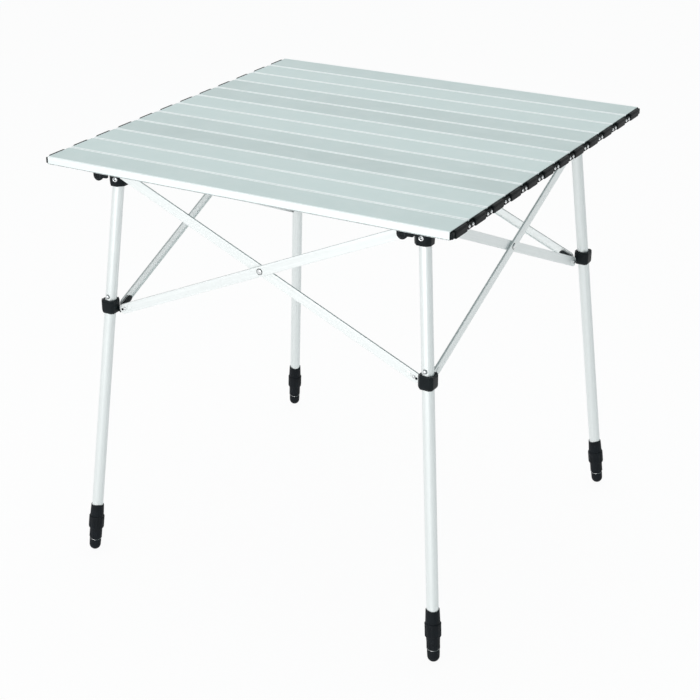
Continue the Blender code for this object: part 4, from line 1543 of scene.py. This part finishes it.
@dataclass
class Studio:
    """The floor, soft light and camera."""

    place: tuple[float, float, float] = (1.2362, -2.1575, 1.4399)
    yaw: float = 0.5615
    pitch: float = 0.43
    roll: float = -0.0173
    lens: float = 83.03
    sensor: float = 36.0
    shift: tuple[float, float] = (0.0805, 0.0146)
    floor_reach: float = 30.0
    floor_level: float = -0.0006
    floor_white: float = 0.94
    middle: tuple[float, float, float] = (0.0, 0.0, 0.45)
    lamps: tuple[Lamp, ...] = (
        Lamp("key", (-0.2, -3.6, 1.3), 2.6, 39.0),
        Lamp("top", (-0.4, 0.6, 3.4), 2.6, 27.0),
        Lamp("low", (1.3, -3.4, 0.8), 1.4, 15.0),
    )

    def floor(self) -> None:
        """Make the pale floor, white to the camera but keeping some of the shadow."""
        mesh = bpy.data.meshes.new("floor")
        reach = self.floor_reach
        corners = [(-reach, -reach), (reach, -reach), (reach, reach), (-reach, reach)]
        mesh.from_pydata([(x, y, self.floor_level) for x, y in corners], [], [(0, 1, 2, 3)])
        made, kit, shader = shaded("floor_paper")
        kit.put(shader, Base_Color=(0.93, 0.93, 0.93), Roughness=0.9)
        glow = kit.put(kit.add("ShaderNodeEmission"), Color=(1.0, 1.0, 1.0), Strength=1.0)
        rays = kit.add("ShaderNodeLightPath").outputs
        seen = kit.math("MAXIMUM", rays["Is Camera Ray"], rays["Is Glossy Ray"])
        seen = kit.math("MAXIMUM", seen, rays["Is Transmission Ray"])
        both = kit.add("ShaderNodeMixShader")
        for value, socket in zip(
            (kit.math("MULTIPLY", seen, self.floor_white), shader.outputs[0], glow.outputs[0]), both.inputs
        ):
            kit.join(value, socket)
        kit.join(both.outputs[0], made.node_tree.nodes["Material Output"].inputs[0])
        mesh.materials.append(made)
        placed("floor", mesh)

    def world(self) -> None:
        """Make a pale sky, white to the camera, a little darker overhead and on the right."""
        world = bpy.data.worlds.new("studio")
        bpy.context.scene.world = world
        world.use_nodes = True
        kit = Shading(world.node_tree)
        parts = kit.add("ShaderNodeSeparateXYZ")
        kit.join(kit.coordinates("Generated"), parts.inputs[0])
        high = kit.ramp(parts.outputs[2], 0.15, 0.9)
        right = kit.ramp(parts.outputs[0], 0.15, 0.85)
        sky = kit.mix(high, (0.76, 0.80, 0.80), (0.46, 0.48, 0.49))
        sky = kit.mix(right, sky, (0.24, 0.33, 0.34))
        rays = kit.add("ShaderNodeLightPath").outputs
        glossy = kit.math("MULTIPLY", rays["Is Glossy Ray"], kit.math("SUBTRACT", 1.0, high))
        glossy = kit.math("MULTIPLY", glossy, kit.math("SUBTRACT", 1.0, kit.math("MULTIPLY", right, 0.8)))
        seen = kit.math("MAXIMUM", rays["Is Camera Ray"], rays["Is Transmission Ray"])
        shown = kit.mix(kit.math("MAXIMUM", seen, glossy), sky, (1.0, 1.0, 1.0))
        kit.put(world.node_tree.nodes["Background"], Color=shown, Strength=1.0)

    def light(self) -> None:
        """Hang the soft lamps, each a square that looks at the middle of the table."""
        for lamp in self.lamps:
            data = bpy.data.lights.new(lamp.name, "AREA")
            data.size = lamp.size
            data.energy = lamp.power
            hung = placed(lamp.name, data)
            hung.location = lamp.place
            away = Vector(lamp.place) - Vector(self.middle)
            hung.rotation_euler = away.to_track_quat("Z", "Y").to_euler()

    def camera(self) -> None:
        """Set the camera from its place, yaw, pitch and roll."""
        a, e, r = self.yaw, self.pitch, self.roll
        ahead = np.array((-math.sin(a) * math.cos(e), math.cos(a) * math.cos(e), -math.sin(e)))
        right = np.array((math.cos(a), math.sin(a), 0.0))
        up = np.cross(right, ahead)
        pose = np.eye(4)
        pose[:3, 0] = right * math.cos(r) + up * math.sin(r)
        pose[:3, 1] = up * math.cos(r) - right * math.sin(r)
        pose[:3, 2] = -ahead
        pose[:3, 3] = self.place
        data = bpy.data.cameras.new("camera")
        data.lens = self.lens
        data.sensor_width = self.sensor
        data.shift_x, data.shift_y = self.shift
        camera = placed("camera", data)
        camera.matrix_world = Matrix(pose.tolist())
        bpy.context.scene.camera = camera

    def build(self) -> None:
        """Set up the studio."""
        self.floor()
        self.world()
        self.light()
        self.camera()
        bpy.context.scene.view_settings.view_transform = "Standard"


def main() -> None:
    """Build the table and its studio."""
    Studio().build()
    finishes = Finishes()
    RollTop(finishes).build()
    for side in Side:
        CrossedBraces(side, finishes).build()
    for corner in Corner:
        for part in (Hub, CatchLever, Leg, Collar):
            part(corner, finishes).build()


if __name__ == "__main__":
    main()
